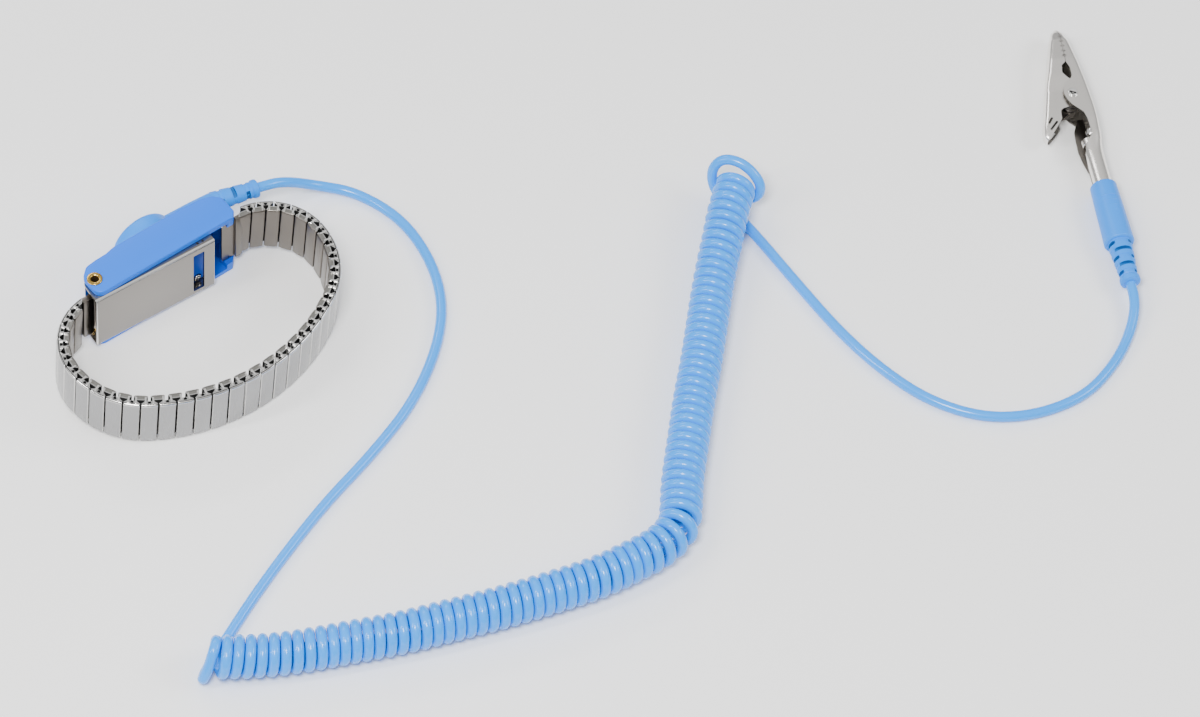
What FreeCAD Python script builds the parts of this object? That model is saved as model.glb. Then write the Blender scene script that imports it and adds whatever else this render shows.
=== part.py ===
import FreeCAD, Part
import os
from math import atan2, cos, degrees, pi, sin, sqrt, tan

import Sketcher
from FreeCAD import Placement, Rotation, Vector

# ESD wrist strap: an expansion wristband in a hinged clasp housing, a snap connector with a curly cord,
# and an alligator clip on a banana plug. Millimetres. +Z is up, +X runs along the housing from the hinge
# to the cord exit, +Y points away from the wrist. The origin is on the floor under the wrist unit's centre.

DIMENSIONS = {
    # clasp housing
    "housing_left": -21.0, "housing_right": 21.6, "housing_front": 12.0, "housing_back": 22.0,
    "housing_tall": 22.0, "wall": 1.6, "back_wall": 2.0, "slot_start": 18.4, "slot_tall": 15.6,
    "slot_back": 18.0, "edge_round": 0.5,
    # hinge eyelet
    "hinge_across": -18.9, "hinge_out": 16.5, "eyelet_radius": 1.3, "eyelet_bore": 0.95,
    "eyelet_flange": 2.0, "eyelet_proud": 0.35, "hinge_clearance": 0.06,
    # cover plate
    "cover_left": -21.7, "cover_right": 13.3, "cover_low": 1.72, "cover_tall": 18.56, "cover_thick": 0.6,
    "cover_face": 11.4, "flange_deep": 3.6, "ear_radius": 2.3, "cover_ajar": 2.9,
    "window_left": 6.9, "window_wide": 3.2, "window_low": 3.4, "window_tall": 14.6,
    # clamp block, rivet and contact strip
    "block_left": 5.4, "block_wide": 7.4, "block_front": 12.9, "block_deep": 5.4, "block_low": 2.5,
    "block_tall": 16.1, "rivet_across": 9.7, "rivet_up": 3.9, "rivet_radius": 1.0, "rivet_tall": 1.1,
    "rivet_back": 13.48,
    "recess_radius": 1.3, "strip_left": -16.0, "strip_long": 21.6, "strip_low": 7.0, "strip_wide": 8.0,
    "strip_thick": 0.3, "strip_front": 19.58,
    # snap stud and connector
    "snap_across": 2.2, "snap_height": 11.0, "stud_radius": 2.0, "stud_neck": 1.55, "stud_tall": 2.6,
    "stud_head": 1.2, "stud_foot": 3.2, "stud_foot_thick": 0.5, "stud_foot_front": 19.05,
    "cap_radius": 8.5, "cap_gap": 0.15, "cap_thick": 5.7, "cap_round": 1.5, "neck_thick": 5.4,
    "neck_long": 22.0, "neck_wide": 8.6, "neck_end": 5.4, "socket_radius": 4.1, "socket_tall": 3.0,
    "resistor_radius": 1.15, "resistor_long": 6.3, "resistor_start": 11.0, "resistor_out": 25.3,
    "relief_turn": -14.0, "relief_long": 12.0, "relief_start": 24.25, "relief_out": 25.3,
    "relief_radius": 2.7, "relief_end": 2.3, "relief_core": 1.75, "relief_slot": 1.1,
    # band
    "pitch": 4.53, "first_gap": 2.19, "outer_links": 34, "band_wide": 16.0, "row_gap": 0.15,
    "link_deep": 1.6, "link_sheet": 0.25, "outer_face": 4.15, "outer_inside": 3.85,
    "inner_long": 3.4, "staple_wide": 0.45, "staple_thick": 0.3, "staple_leg": 3.0,
    "loop_start": 21.5, "top_arc": 16.5, "side_arc": 22.7, "far_arc": 53.4, "loop_half": 39.0,
    "loop_middle": -0.2, "band_tilt": 3.66, "tilt_out": 15.0, "links_fixed": 3, "links_sliding": 6,
    "end_thick": 0.45, "left_end_wide": 14.4, "left_end_front": 14.35, "left_end_deep": 1.6,
    "left_end_right": -20.9, "curl_wall": 0.55, "tongue_left": 17.7, "tongue_right": 24.59,
    "tongue_front": 13.33, "tongue_wide": 14.8, "hook_deep": 4.2,
    # cord
    "cord": 2.7, "coil": 10.8,
    # clip end
    "clip_across": 214.7, "clip_out": -101.05, "clip_height": 4.15, "clip_turn": 61.5,
    "handle_long": 18.8, "handle_face": 3.5, "handle_rear": 4.0, "handle_relief_long": 12.6,
    "handle_relief_start": 3.3, "handle_relief_end": 2.4,
    "plug_radius": 1.5, "plug_inside": 9.0, "plug_out": 13.0, "plug_spring": 1.98,
    "barrel_radius": 2.5, "barrel_bore": 2.05, "barrel_start": 0.4, "barrel_end": 15.0,
    "clip_sheet": 0.6, "clip_half": 3.8, "jaw_gap": 0.06, "pin_along": 28.4, "pin_off": 2.0,
    "pin_radius": 0.9, "pin_head": 1.5, "pin_head_tall": 0.32, "teeth_line": 1.4, "tooth": 1.8,
    "tooth_start": 40.4, "tooth_deep": 0.8, "teeth": 4, "spring_radius": 2.0, "spring_wire": 0.55,
    "spring_tall": 4.4, "leg_long": 9.5, "arm_long": 6.6, "arm_turn": 126.0,
    "screw_along": 18.4, "screw_off": -1.9, "screw_radius": 1.2, "screw_tall": 0.9,
}

doc = FreeCAD.newDocument("esd_wrist_strap")
sheet = doc.addObject("Spreadsheet::Sheet", "dims")
for row, (alias, number) in enumerate(DIMENSIONS.items(), start=1):
    sheet.set(f"A{row}", alias)
    sheet.set(f"B{row}", str(number))
    sheet.setAlias(f"B{row}", alias)
doc.recompute()

Z_AXIS = Vector(0, 0, 1)
nodes = {}


def dim(alias):
    """The number that a cell of the sheet holds."""
    return float(sheet.get(alias))


def keep(name, feature):
    """Makes a feature one of the object's pieces, under its own label."""
    feature.Label = name
    nodes[name] = feature
    return feature


def bind(feature, **expressions):
    """Binds a feature's properties to cells. A double underscore stands for a dot in the property's path."""
    for path, expression in expressions.items():
        feature.setExpression(path.replace("__", "."), expression)
    return feature


# ---------------------------------------------------------------- sketches and solids

def new_body(name):
    return doc.addObject("PartDesign::Body", name)


def sketch_on(body, role, name):
    """An empty sketch on one of the body's own origin planes."""
    plane = next(f for f in body.Origin.OriginFeatures if f.Role == role)
    sketch = body.newObject("Sketcher::SketchObject", name)
    sketch.AttachmentSupport = [(plane, "")]
    sketch.MapMode = "FlatFace"
    return sketch


def draw_polygon(sketch, points):
    """A closed outline of straight lines. Each corner is bound to its two expressions."""
    corners = [Vector(*[number_of(value) for value in point], 0) for point in points]
    first = sketch.GeometryCount
    count = len(points)
    for i in range(count):
        sketch.addGeometry(Part.LineSegment(corners[i], corners[(i + 1) % count]), False)
    for i in range(count):
        sketch.addConstraint(Sketcher.Constraint("Coincident", first + i, 2, first + (i + 1) % count, 1))
    for i, point in enumerate(points):
        place_point(sketch, first + i, 1, point)


def draw_circle(sketch, across, up, radius):
    """A circle whose centre and radius are bound to expressions."""
    centre = Vector(number_of(across), number_of(up), 0)
    index = sketch.addGeometry(Part.Circle(centre, Z_AXIS, number_of(radius)), False)
    place_point(sketch, index, 3, (across, up))
    constrain(sketch, radius, "Radius", index)


def place_point(sketch, geometry, point, coordinates):
    """Holds a point of a line or circle at its distances from the sketch's origin."""
    for kind, value in zip(("DistanceX", "DistanceY"), coordinates):
        constrain(sketch, value, kind, -1, 1, geometry, point)


def constrain(sketch, value, *words):
    """A constraint whose size is a plain number, or an expression that it is bound to."""
    index = sketch.addConstraint(Sketcher.Constraint(*words, number_of(value)))
    if isinstance(value, str):
        sketch.setExpression(f"Constraints[{index}]", value)


def number_of(value):
    """The number that an expression gives now; a plain number stays as it is."""
    if not isinstance(value, str):
        return float(value)
    scratch = doc.getObject("scratch") or doc.addObject("App::FeaturePython", "scratch")
    return float(scratch.evalExpression(value))


def pad(body, sketch, length, midplane=False, backwards=False):
    feature = body.newObject("PartDesign::Pad", sketch.Name + "_pad")
    feature.Profile = sketch
    feature.SideType = "Symmetric" if midplane else "One side"
    feature.Reversed = backwards
    feature.setExpression("Length", length)
    sketch.Visibility = False
    doc.recompute()
    return feature


def pocket(body, sketch, length, midplane=False, backwards=False):
    """Cuts the sketch out of the body, and stops if nothing was cut."""
    before = body.Shape.Volume
    feature = body.newObject("PartDesign::Pocket", sketch.Name + "_pocket")
    feature.Profile = sketch
    feature.SideType = "Symmetric" if midplane else "One side"
    feature.Reversed = backwards
    feature.setExpression("Length", length)
    doc.recompute()
    if body.Shape.Volume > before - 1e-6:
        raise RuntimeError(f"{feature.Name} cuts nothing")
    return feature


def revolve(body, sketch):
    """Turns a sketch on the XY plane about the body's X axis."""
    feature = body.newObject("PartDesign::Revolution", sketch.Name + "_turned")
    feature.Profile = sketch
    line = next(f for f in body.Origin.OriginFeatures if f.Role == "X_Axis")
    feature.ReferenceAxis = (line, [""])
    feature.Angle = 360
    doc.recompute()
    return feature


def box(name, corner, size):
    """A block whose corner and size are expressions."""
    solid = doc.addObject("Part::Box", name)
    bind(solid, Length=size[0], Width=size[1], Height=size[2])
    bind(solid, Placement__Base__x=corner[0], Placement__Base__y=corner[1], Placement__Base__z=corner[2])
    return solid


def rod(name, radius, length, base, direction=Z_AXIS):
    """A cylinder from a base point along a direction."""
    solid = doc.addObject("Part::Cylinder", name)
    solid.Placement = Placement(Vector(), Rotation(Z_AXIS, direction))
    bind(solid, Radius=radius, Height=length)
    bind(solid, Placement__Base__x=base[0], Placement__Base__y=base[1], Placement__Base__z=base[2])
    return solid


def cut(name, base, tool):
    feature = doc.addObject("Part::Cut", name)
    feature.Base = base
    feature.Tool = tool
    return feature


def fuse(name, *parts):
    feature = doc.addObject("Part::MultiFuse", name)
    feature.Shapes = list(parts)
    return feature


def round_rims(body, base, radius, chosen):
    """Rounds the edges of the body's last feature that chosen(edge) picks."""
    names = [f"Edge{i}" for i, edge in enumerate(base.Shape.Edges, start=1) if chosen(edge)]
    feature = body.newObject("PartDesign::Fillet", base.Name + "_rounds")
    feature.Base = (base, names)
    feature.setExpression("Radius", radius)
    doc.recompute()
    return feature


# ---------------------------------------------------------------- clasp housing

def build_housing():
    """A blue shell: a back plate with a top and a bottom wall, open towards the wrist."""
    body = new_body("housing_body")
    outline = sketch_on(body, "XY_Plane", "housing_outline")
    draw_polygon(outline, [
        ("dims.housing_left", "dims.housing_front"),
        ("dims.housing_right - 1.6", "dims.housing_front"),
        ("dims.housing_right", "dims.housing_front + 1.6"),
        ("dims.housing_right", "dims.housing_back - 3.4"),
        ("dims.housing_right - 2.2", "dims.housing_back - 1.2"),
        ("dims.housing_right - 8", "dims.housing_back"),
        ("dims.housing_left + 10.5", "dims.housing_back"),
        ("dims.housing_left + 6", "dims.housing_back - 0.8"),
        ("dims.housing_left + 2.6", "dims.housing_back - 0.8"),
        ("dims.housing_left", "dims.housing_back - 3.4"),
    ])
    shell = pad(body, outline, "dims.housing_tall")

    def is_level_rim(edge):
        """The rims of the top and the bottom, except along the open side."""
        middle = edge.CenterOfMass
        level = min(abs(middle.z), abs(middle.z - dim("housing_tall"))) < 0.01
        return level and middle.y > dim("housing_front") + 0.3

    round_rims(body, shell, "dims.edge_round", is_level_rim)

    hollow = sketch_on(body, "XZ_Plane", "housing_hollow")
    draw_polygon(hollow, [
        ("dims.housing_left - 1", "dims.wall"),
        ("dims.slot_start", "dims.wall"),
        ("dims.slot_start", "dims.housing_tall - dims.wall"),
        ("dims.housing_left - 1", "dims.housing_tall - dims.wall"),
    ])
    pocket(body, hollow, "dims.housing_back - dims.back_wall", backwards=False)

    slot = sketch_on(body, "XZ_Plane", "band_slot")
    draw_polygon(slot, [
        ("dims.slot_start - 1", "(dims.housing_tall - dims.slot_tall) / 2"),
        ("dims.housing_right + 1", "(dims.housing_tall - dims.slot_tall) / 2"),
        ("dims.housing_right + 1", "(dims.housing_tall + dims.slot_tall) / 2"),
        ("dims.slot_start - 1", "(dims.housing_tall + dims.slot_tall) / 2"),
    ])
    pocket(body, slot, "dims.slot_back", backwards=False)

    eyelet = sketch_on(body, "XY_Plane", "eyelet_holes")
    draw_circle(eyelet, "dims.hinge_across", "dims.hinge_out", "dims.eyelet_radius + 0.02")
    pocket(body, eyelet, "dims.housing_tall", backwards=True)

    sink = sketch_on(body, "XY_Plane", "eyelet_sink")
    draw_circle(sink, "dims.hinge_across", "dims.hinge_out", "dims.eyelet_flange + 0.05")
    pocket(body, sink, "dims.eyelet_proud + 0.03", backwards=True)

    stud = sketch_on(body, "XZ_Plane", "stud_hole")
    draw_circle(stud, "dims.snap_across", "dims.snap_height", "dims.stud_neck + 0.02")
    pocket(body, stud, "dims.housing_back + 1", backwards=False)
    return keep("housing", body)


def build_eyelet():
    """A tubular brass rivet through both walls. It is the cover's hinge pin, and its bore is open."""
    at = ("dims.hinge_across", "dims.hinge_out")
    shank = rod("eyelet_shank", "dims.eyelet_radius", "dims.housing_tall", (*at, "0"))
    foot = rod("eyelet_foot", "dims.eyelet_flange", "dims.eyelet_proud", (*at, "0"))
    rim = rod("eyelet_rim", "dims.eyelet_flange", "dims.eyelet_proud", (*at, "dims.housing_tall"))
    bore = rod("eyelet_hole", "dims.eyelet_bore", "dims.housing_tall + 2", (*at, "-1"))
    keep("hinge_eyelet", cut("eyelet_cut", fuse("eyelet_solid", shank, foot, rim), bore))


def build_cover():
    """A stainless channel. Its flanges reach between the housing's walls, and two ears turn on the eyelet."""
    body = new_body("cover_body")
    face = sketch_on(body, "XY_Plane", "cover_profile")
    draw_polygon(face, [
        ("dims.cover_left", "dims.cover_face"),
        ("dims.cover_right", "dims.cover_face"),
        ("dims.cover_right", "dims.cover_face + dims.cover_thick + dims.flange_deep - 1.2"),
        ("dims.cover_right - 1.2", "dims.cover_face + dims.cover_thick + dims.flange_deep"),
        ("dims.hinge_across + 5", "dims.cover_face + dims.cover_thick + dims.flange_deep"),
        ("dims.hinge_across + dims.ear_radius", "dims.hinge_out"),
        ("dims.hinge_across + dims.ear_radius * 0.5", "dims.hinge_out + dims.ear_radius * 0.87"),
        ("dims.hinge_across - dims.ear_radius * 0.5", "dims.hinge_out + dims.ear_radius * 0.87"),
        ("dims.hinge_across - dims.ear_radius", "dims.hinge_out"),
        ("dims.cover_left", "dims.cover_face + 1.5"),
    ])
    pad(body, face, "dims.cover_tall")
    inside = sketch_on(body, "XY_Plane", "cover_inside")
    draw_polygon(inside, [
        ("dims.cover_left - 1", "dims.cover_face + dims.cover_thick"),
        ("dims.cover_right + 1", "dims.cover_face + dims.cover_thick"),
        ("dims.cover_right + 1", "dims.hinge_out + 4"),
        ("dims.cover_left - 1", "dims.hinge_out + 4"),
    ])
    inside.AttachmentOffset = Placement(Vector(0, 0, dim("cover_thick")), Rotation())
    pocket(body, inside, "dims.cover_tall - 2 * dims.cover_thick", backwards=True)
    holes = sketch_on(body, "XY_Plane", "ear_holes")
    draw_circle(holes, "dims.hinge_across", "dims.hinge_out", "dims.eyelet_radius + dims.hinge_clearance")
    pocket(body, holes, "dims.cover_tall", backwards=True)
    window = sketch_on(body, "XZ_Plane", "cover_window")
    draw_polygon(window, [
        ("dims.window_left", "dims.window_low - dims.cover_low"),
        ("dims.window_left + dims.window_wide", "dims.window_low - dims.cover_low"),
        ("dims.window_left + dims.window_wide", "dims.window_low - dims.cover_low + dims.window_tall"),
        ("dims.window_left", "dims.window_low - dims.cover_low + dims.window_tall"),
    ])
    pocket(body, window, "dims.cover_face + dims.cover_thick + 0.1", backwards=False)
    hinge = Vector(dim("hinge_across"), dim("hinge_out"), 0)
    lift = Placement(Vector(0, 0, dim("cover_low")), Rotation())
    ajar = Placement(Vector(), Rotation(Z_AXIS, -dim("cover_ajar")), hinge)
    body.Placement = ajar.multiply(lift)
    keep("cover_plate", body)


def build_clasp_insides():
    """What the housing holds: the clamp block with its rivet, the contact strip and the snap stud."""
    out, toward_wrist = Vector(0, 1, 0), Vector(0, -1, 0)
    block = box("clamp_block_solid", ("dims.block_left", "dims.block_front", "dims.block_low"),
                ("dims.block_wide", "dims.block_deep", "dims.block_tall"))
    recess = rod("clamp_block_recess", "dims.recess_radius", "dims.block_deep",
                 ("dims.rivet_across", "dims.rivet_back + 0.02", "dims.rivet_up"), toward_wrist)
    keep("clamp_block", cut("clamp_block_cut", block, recess))
    keep("clamp_rivet", rod("clamp_rivet_solid", "dims.rivet_radius", "dims.rivet_tall",
                            ("dims.rivet_across", "dims.rivet_back", "dims.rivet_up"), toward_wrist))

    strip = box("contact_strip_solid", ("dims.strip_left", "dims.strip_front", "dims.strip_low"),
                ("dims.strip_long", "dims.strip_thick", "dims.strip_wide"))
    hole = rod("contact_strip_hole", "dims.stud_neck + 0.05", "4",
               ("dims.snap_across", "dims.strip_front - 2", "dims.snap_height"), out)
    keep("contact_strip", cut("contact_strip_cut", strip, hole))

    foot = rod("stud_foot_disc", "dims.stud_foot", "dims.stud_foot_thick",
               ("dims.snap_across", "dims.stud_foot_front", "dims.snap_height"), out)
    tip = "dims.housing_back + dims.stud_tall"
    neck = rod("stud_shank", "dims.stud_neck", tip + " - dims.stud_foot_front - 0.05",
               ("dims.snap_across", "dims.stud_foot_front + 0.05", "dims.snap_height"), out)
    head = rod("stud_head_disc", "dims.stud_radius", "dims.stud_head",
               ("dims.snap_across", tip + " - dims.stud_head", "dims.snap_height"), out)
    keep("snap_stud", fuse("snap_stud_solid", foot, neck, head))


# ---------------------------------------------------------------- expansion band

def on_loop(along, inward):
    """A point of the band's loop and its heading, in degrees. along is measured on the outer surface from
    the housing's left end, and inward is the depth under that surface."""
    top, side, far = dim("top_arc"), dim("side_arc"), dim("far_arc")
    middle = dim("loop_middle")
    top_across = dim("loop_half") - top
    side_across = dim("loop_half") - side
    far_middle = middle + sqrt((far - side) ** 2 - side_across ** 2)
    spread = atan2(side_across, far_middle - middle)
    lead = top_across - dim("loop_start")
    lengths = [lead, top * pi / 2, side * (pi / 2 - spread), far * spread]
    half = sum(lengths)
    mirrored = along > half
    s = 2 * half - along if mirrored else along
    if s < lengths[0]:
        point, heading = Vector(-dim("loop_start") - s, middle + top - inward, 0), 180.0
    elif s < lengths[0] + lengths[1]:
        turn = (s - lengths[0]) / top
        point = Vector(-top_across - (top - inward) * sin(turn), middle + (top - inward) * cos(turn), 0)
        heading = 180 + degrees(turn)
    elif s < half - lengths[3]:
        turn = (s - lengths[0] - lengths[1]) / side
        point = Vector(-side_across - (side - inward) * cos(turn), middle - (side - inward) * sin(turn), 0)
        heading = 270 + degrees(turn)
    else:
        turn = (half - s) / far
        point = Vector(-(far - inward) * sin(turn), far_middle - (far - inward) * cos(turn), 0)
        heading = 360 - degrees(turn)
    if mirrored:
        point.x = -point.x
        heading = -heading
    return point, heading


def tilt():
    """The loop leans on the floor at its far side, because the housing is taller than the band."""
    pivot = Vector(0, dim("tilt_out"), dim("housing_tall") / 2)
    return Placement(Vector(), Rotation(Vector(1, 0, 0), dim("band_tilt")), pivot)


def at_loop(along, inward):
    """The placement of a template: x along the band, y inward, z up, at the band's mid height."""
    point, heading = on_loop(along, inward)
    level = Placement(point + Vector(0, 0, dim("housing_tall") / 2), Rotation(Z_AXIS, heading))
    return tilt().multiply(level)


def build_templates():
    """One outer link, one inner link and one staple, which the band repeats."""
    outer = new_body("outer_template")
    shape = sketch_on(outer, "XY_Plane", "outer_section")
    draw_polygon(shape, [
        ("-dims.outer_face / 2", 0.3), ("-dims.outer_face / 2 + 0.5", 0), ("dims.outer_face / 2 - 0.5", 0),
        ("dims.outer_face / 2", 0.3), ("dims.outer_inside / 2", "dims.link_deep"),
        ("-dims.outer_inside / 2", "dims.link_deep"),
    ])
    pad(outer, shape, "dims.band_wide", midplane=True)
    hollow = sketch_on(outer, "XY_Plane", "outer_hollow")
    draw_polygon(hollow, [
        ("-dims.outer_inside / 2 + dims.link_sheet", "dims.link_sheet"),
        ("dims.outer_inside / 2 - dims.link_sheet", "dims.link_sheet"),
        ("dims.outer_inside / 2 - dims.link_sheet", "dims.link_deep - dims.link_sheet"),
        ("-dims.outer_inside / 2 + dims.link_sheet", "dims.link_deep - dims.link_sheet"),
    ])
    pocket(outer, hollow, "dims.band_wide + 2", midplane=True)

    inner = new_body("inner_template")
    shape = sketch_on(inner, "XY_Plane", "inner_section")
    draw_polygon(shape, [
        ("-dims.inner_long / 2", 0), ("dims.inner_long / 2", 0),
        ("dims.inner_long / 2", "dims.link_deep - 0.3"), ("dims.inner_long / 2 - 0.3", "dims.link_deep"),
        ("-dims.inner_long / 2 + 0.3", "dims.link_deep"), ("-dims.inner_long / 2", "dims.link_deep - 0.3"),
    ])
    pad(inner, shape, "dims.band_wide", midplane=True)
    hollow = sketch_on(inner, "XY_Plane", "inner_hollow")
    draw_polygon(hollow, [
        ("-dims.inner_long / 2 + dims.link_sheet", "dims.link_sheet"),
        ("dims.inner_long / 2 - dims.link_sheet", "dims.link_sheet"),
        ("dims.inner_long / 2 - dims.link_sheet", "dims.link_deep - dims.link_sheet"),
        ("-dims.inner_long / 2 + dims.link_sheet", "dims.link_deep - dims.link_sheet"),
    ])
    pocket(inner, hollow, "dims.band_wide + 2", midplane=True)

    staple = new_body("staple_template")
    shape = sketch_on(staple, "YZ_Plane", "staple_shape")
    reach = "(dims.link_deep + dims.row_gap) / 2 + dims.staple_thick / 2"
    inner_reach = "(dims.link_deep + dims.row_gap) / 2 - dims.staple_thick / 2"
    top = "dims.band_wide / 2 + 0.05"
    crown = "dims.band_wide / 2 + 0.05 + dims.staple_thick"
    foot = "dims.band_wide / 2 - dims.staple_leg"
    draw_polygon(shape, [
        (f"-({reach})", foot), (f"-({reach})", crown), (reach, crown), (reach, foot), (inner_reach, foot),
        (inner_reach, top), (f"-({inner_reach})", top), (f"-({inner_reach})", foot),
    ])
    pad(staple, shape, "dims.staple_wide", midplane=True)
    doc.recompute()
    return outer, inner, staple


def repeat(template, name, placements):
    """Copies of a template as links, one for each placement."""
    copies = []
    for i, placement in enumerate(placements):
        copy = doc.addObject("App::Link", f"{name}_{i}")
        copy.LinkedObject = template
        copy.Placement = placement
        copies.append(copy)
    return copies


def group(name, members):
    feature = doc.addObject("Part::Compound", name + "_group")
    feature.Links = members
    return keep(name, feature)


def build_band():
    """Two rows of hollow links joined by staples. The links beside the housing are fixed to it, those on
    each side spread apart one by one, and the far ones move together."""
    outer, inner, staple = build_templates()
    count = int(dim("outer_links"))
    fixed, sliding = int(dim("links_fixed")), int(dim("links_sliding"))
    turning = fixed + sliding // 2
    pitch, start = dim("pitch"), dim("first_gap")
    row_depth = dim("link_deep") + dim("row_gap")
    upside_down = Placement(Vector(), Rotation(Vector(0, 1, 0), 180))

    def region(link):
        """Which part of the band an outer link belongs to."""
        if link < fixed or link >= count - fixed:
            return "fixed"
        if link < fixed + sliding:
            return f"left_{link - fixed + 1}"
        if link >= count - fixed - sliding:
            return f"right_{count - fixed - link}"
        return "far"

    def owner(gap):
        """The outer link that carries the inner link behind a gap. Beside the housing it is the one
        further from the housing, and past the loop's widest place it is the nearer one. The cover's
        edge swings past the left end, so no inner link stands there."""
        if gap == count:
            return count - 1
        near, further = (gap - 1, gap) if gap <= count // 2 else (gap, gap - 1)
        from_end = gap if gap <= count // 2 else count - gap
        return further if from_end < turning else near

    regions = {}
    for link in range(count):
        members = regions.setdefault(region(link), {"outer": [], "inner": [], "staples": []})
        members["outer"].append(at_loop(start + (link + 0.5) * pitch, 0))
    for gap in range(1, count + 1):
        members = regions[region(owner(gap))]
        members["inner"].append(at_loop(start + gap * pitch, row_depth))
        for side, link in ((-0.25, gap - 1), (0.25, gap)):
            if 0 <= link < count and region(link) == region(owner(gap)):
                middle = at_loop(start + (gap + side) * pitch, row_depth - dim("row_gap") / 2)
                members["staples"] += [middle, middle.multiply(upside_down)]
    for name, members in regions.items():
        group(f"outer_links_{name}", repeat(outer, f"outer_{name}", members["outer"]))
        inner_copies = repeat(inner, f"inner_{name}", members["inner"])
        staple_copies = repeat(staple, f"staple_{name}", members["staples"])
        if name in ("fixed", "far"):
            group(f"inner_links_{name}", inner_copies)
            group(f"staples_{name}", staple_copies)
        else:
            group(f"inner_links_{name}", inner_copies + staple_copies)


def build_band_ends():
    """The left end is a half link with a leaf that curls round the eyelet. The right end is a steel tongue
    through the housing's slot, hooked over the wall inside."""
    low = "(dims.housing_tall - dims.left_end_wide) / 2"
    start = "-dims.loop_start - dims.first_gap - 0.2"
    link = box("left_link", (start, "dims.left_end_front", low),
               (f"dims.left_end_right - ({start})", "dims.left_end_deep", "dims.left_end_wide"))
    leaf = box("left_leaf", (start, "dims.left_end_front + dims.left_end_deep - dims.end_thick", low),
               (f"dims.hinge_across - ({start})", "dims.end_thick", "dims.left_end_wide"))
    curl = rod("left_curl", "dims.eyelet_radius + dims.curl_wall", "dims.left_end_wide",
               ("dims.hinge_across", "dims.hinge_out", low))
    hole = rod("left_hole", "dims.eyelet_radius + 0.05", "dims.left_end_wide + 2",
               ("dims.hinge_across", "dims.hinge_out", low + " - 1"))
    keep("band_end_left", cut("left_end_cut", fuse("left_end_solid", link, leaf, curl), hole))

    corner = ("dims.tongue_left", "dims.tongue_front", "(dims.housing_tall - dims.tongue_wide) / 2")
    blade = box("tongue_blade", corner,
                ("dims.tongue_right - dims.tongue_left", "dims.end_thick", "dims.tongue_wide"))
    hook = box("tongue_hook", corner, ("dims.end_thick", "dims.hook_deep", "dims.tongue_wide"))
    keep("band_end_right", fuse("tongue_solid", blade, hook))


# ---------------------------------------------------------------- snap connector

def build_connector():
    """The moulded cap over the stud with its tapering neck. The socket and the resistor are sealed in."""
    base = "dims.housing_back + dims.cap_gap"
    centre = ("dims.snap_across", base, "dims.snap_height")
    body = new_body("connector_body")
    cap = sketch_on(body, "XZ_Plane", "cap_circle")
    draw_circle(cap, 0, 0, "dims.cap_radius")
    disc = pad(body, cap, "dims.cap_thick", backwards=True)
    round_rims(body, disc, "dims.cap_round", lambda edge: edge.CenterOfMass.y > dim("cap_thick") - 0.01)
    neck = sketch_on(body, "XZ_Plane", "neck_outline")
    draw_polygon(neck, [
        (0, "-dims.neck_wide / 2"), ("dims.neck_long", "-dims.neck_end / 2"),
        ("dims.neck_long", "dims.neck_end / 2"), (0, "dims.neck_wide / 2"),
    ])
    pad(body, neck, "dims.neck_thick", backwards=True)
    socket_hole = sketch_on(body, "XZ_Plane", "socket_hole")
    draw_circle(socket_hole, 0, 0, "dims.socket_radius + 0.02")
    pocket(body, socket_hole, "dims.socket_tall + 0.1", backwards=False)
    resistor_hole = sketch_on(body, "YZ_Plane", "resistor_hole")
    draw_circle(resistor_hole, "dims.resistor_out - dims.housing_back - dims.cap_gap", 0,
                "dims.resistor_radius + 0.02")
    resistor_hole.AttachmentOffset = Placement(Vector(0, 0, dim("resistor_start")), Rotation())
    pocket(body, resistor_hole, "dims.resistor_long", backwards=True)
    bind(body, Placement__Base__x=centre[0], Placement__Base__y=centre[1], Placement__Base__z=centre[2])
    doc.recompute()
    keep("snap_connector", body)

    ring = rod("socket_ring", "dims.socket_radius", "dims.socket_tall", centre, Vector(0, 1, 0))
    bore = rod("socket_bore", "dims.stud_radius + 0.06", "dims.stud_tall + 0.1",
               ("dims.snap_across", base + " - 0.1", "dims.snap_height"), Vector(0, 1, 0))
    keep("snap_socket", cut("socket_cut", ring, bore))
    keep("series_resistor", rod("resistor_solid", "dims.resistor_radius", "dims.resistor_long - 0.1",
                                ("dims.snap_across + dims.resistor_start + 0.05", "dims.resistor_out",
                                 "dims.snap_height"), Vector(1, 0, 0)))


def slotted_relief(name, radius, end_radius, length, placement):
    """A tapered sleeve with three rings of slots, on the body's X axis."""
    body = new_body(name + "_body")
    profile = sketch_on(body, "XY_Plane", name + "_profile")
    draw_polygon(profile, [(0, 0), (0, radius), (length, end_radius), (length, 0)])
    revolve(body, profile)
    slots = sketch_on(body, "XY_Plane", name + "_slots")
    for ring in (1, 2, 3):
        middle = f"({length}) * {ring / 4 + 0.04}"
        for side in (1, -1):
            near, far = f"{side} * dims.relief_core", f"{side} * 5"
            left, right = f"{middle} - dims.relief_slot / 2", f"{middle} + dims.relief_slot / 2"
            corners = [(left, near), (right, near), (right, far), (left, far)]
            draw_polygon(slots, corners if side > 0 else corners[::-1])
    pocket(body, slots, "2.6", midplane=True)
    body.Placement = placement
    return keep(name, body)


def build_reliefs():
    start = Vector(dim("relief_start"), dim("relief_out"), dim("snap_height"))
    turned = Rotation(Z_AXIS, dim("relief_turn"))
    slotted_relief("strain_relief_wrist", "dims.relief_radius", "dims.relief_end", "dims.relief_long",
                   Placement(start, turned))
    backwards = clip_frame().multiply(Placement(Vector(-dim("handle_long"), 0, 0), Rotation(Z_AXIS, 180)))
    slotted_relief("strain_relief_clip", "dims.handle_relief_start", "dims.handle_relief_end",
                   "dims.handle_relief_long", backwards)


# ---------------------------------------------------------------- clip, plug and handle

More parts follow.
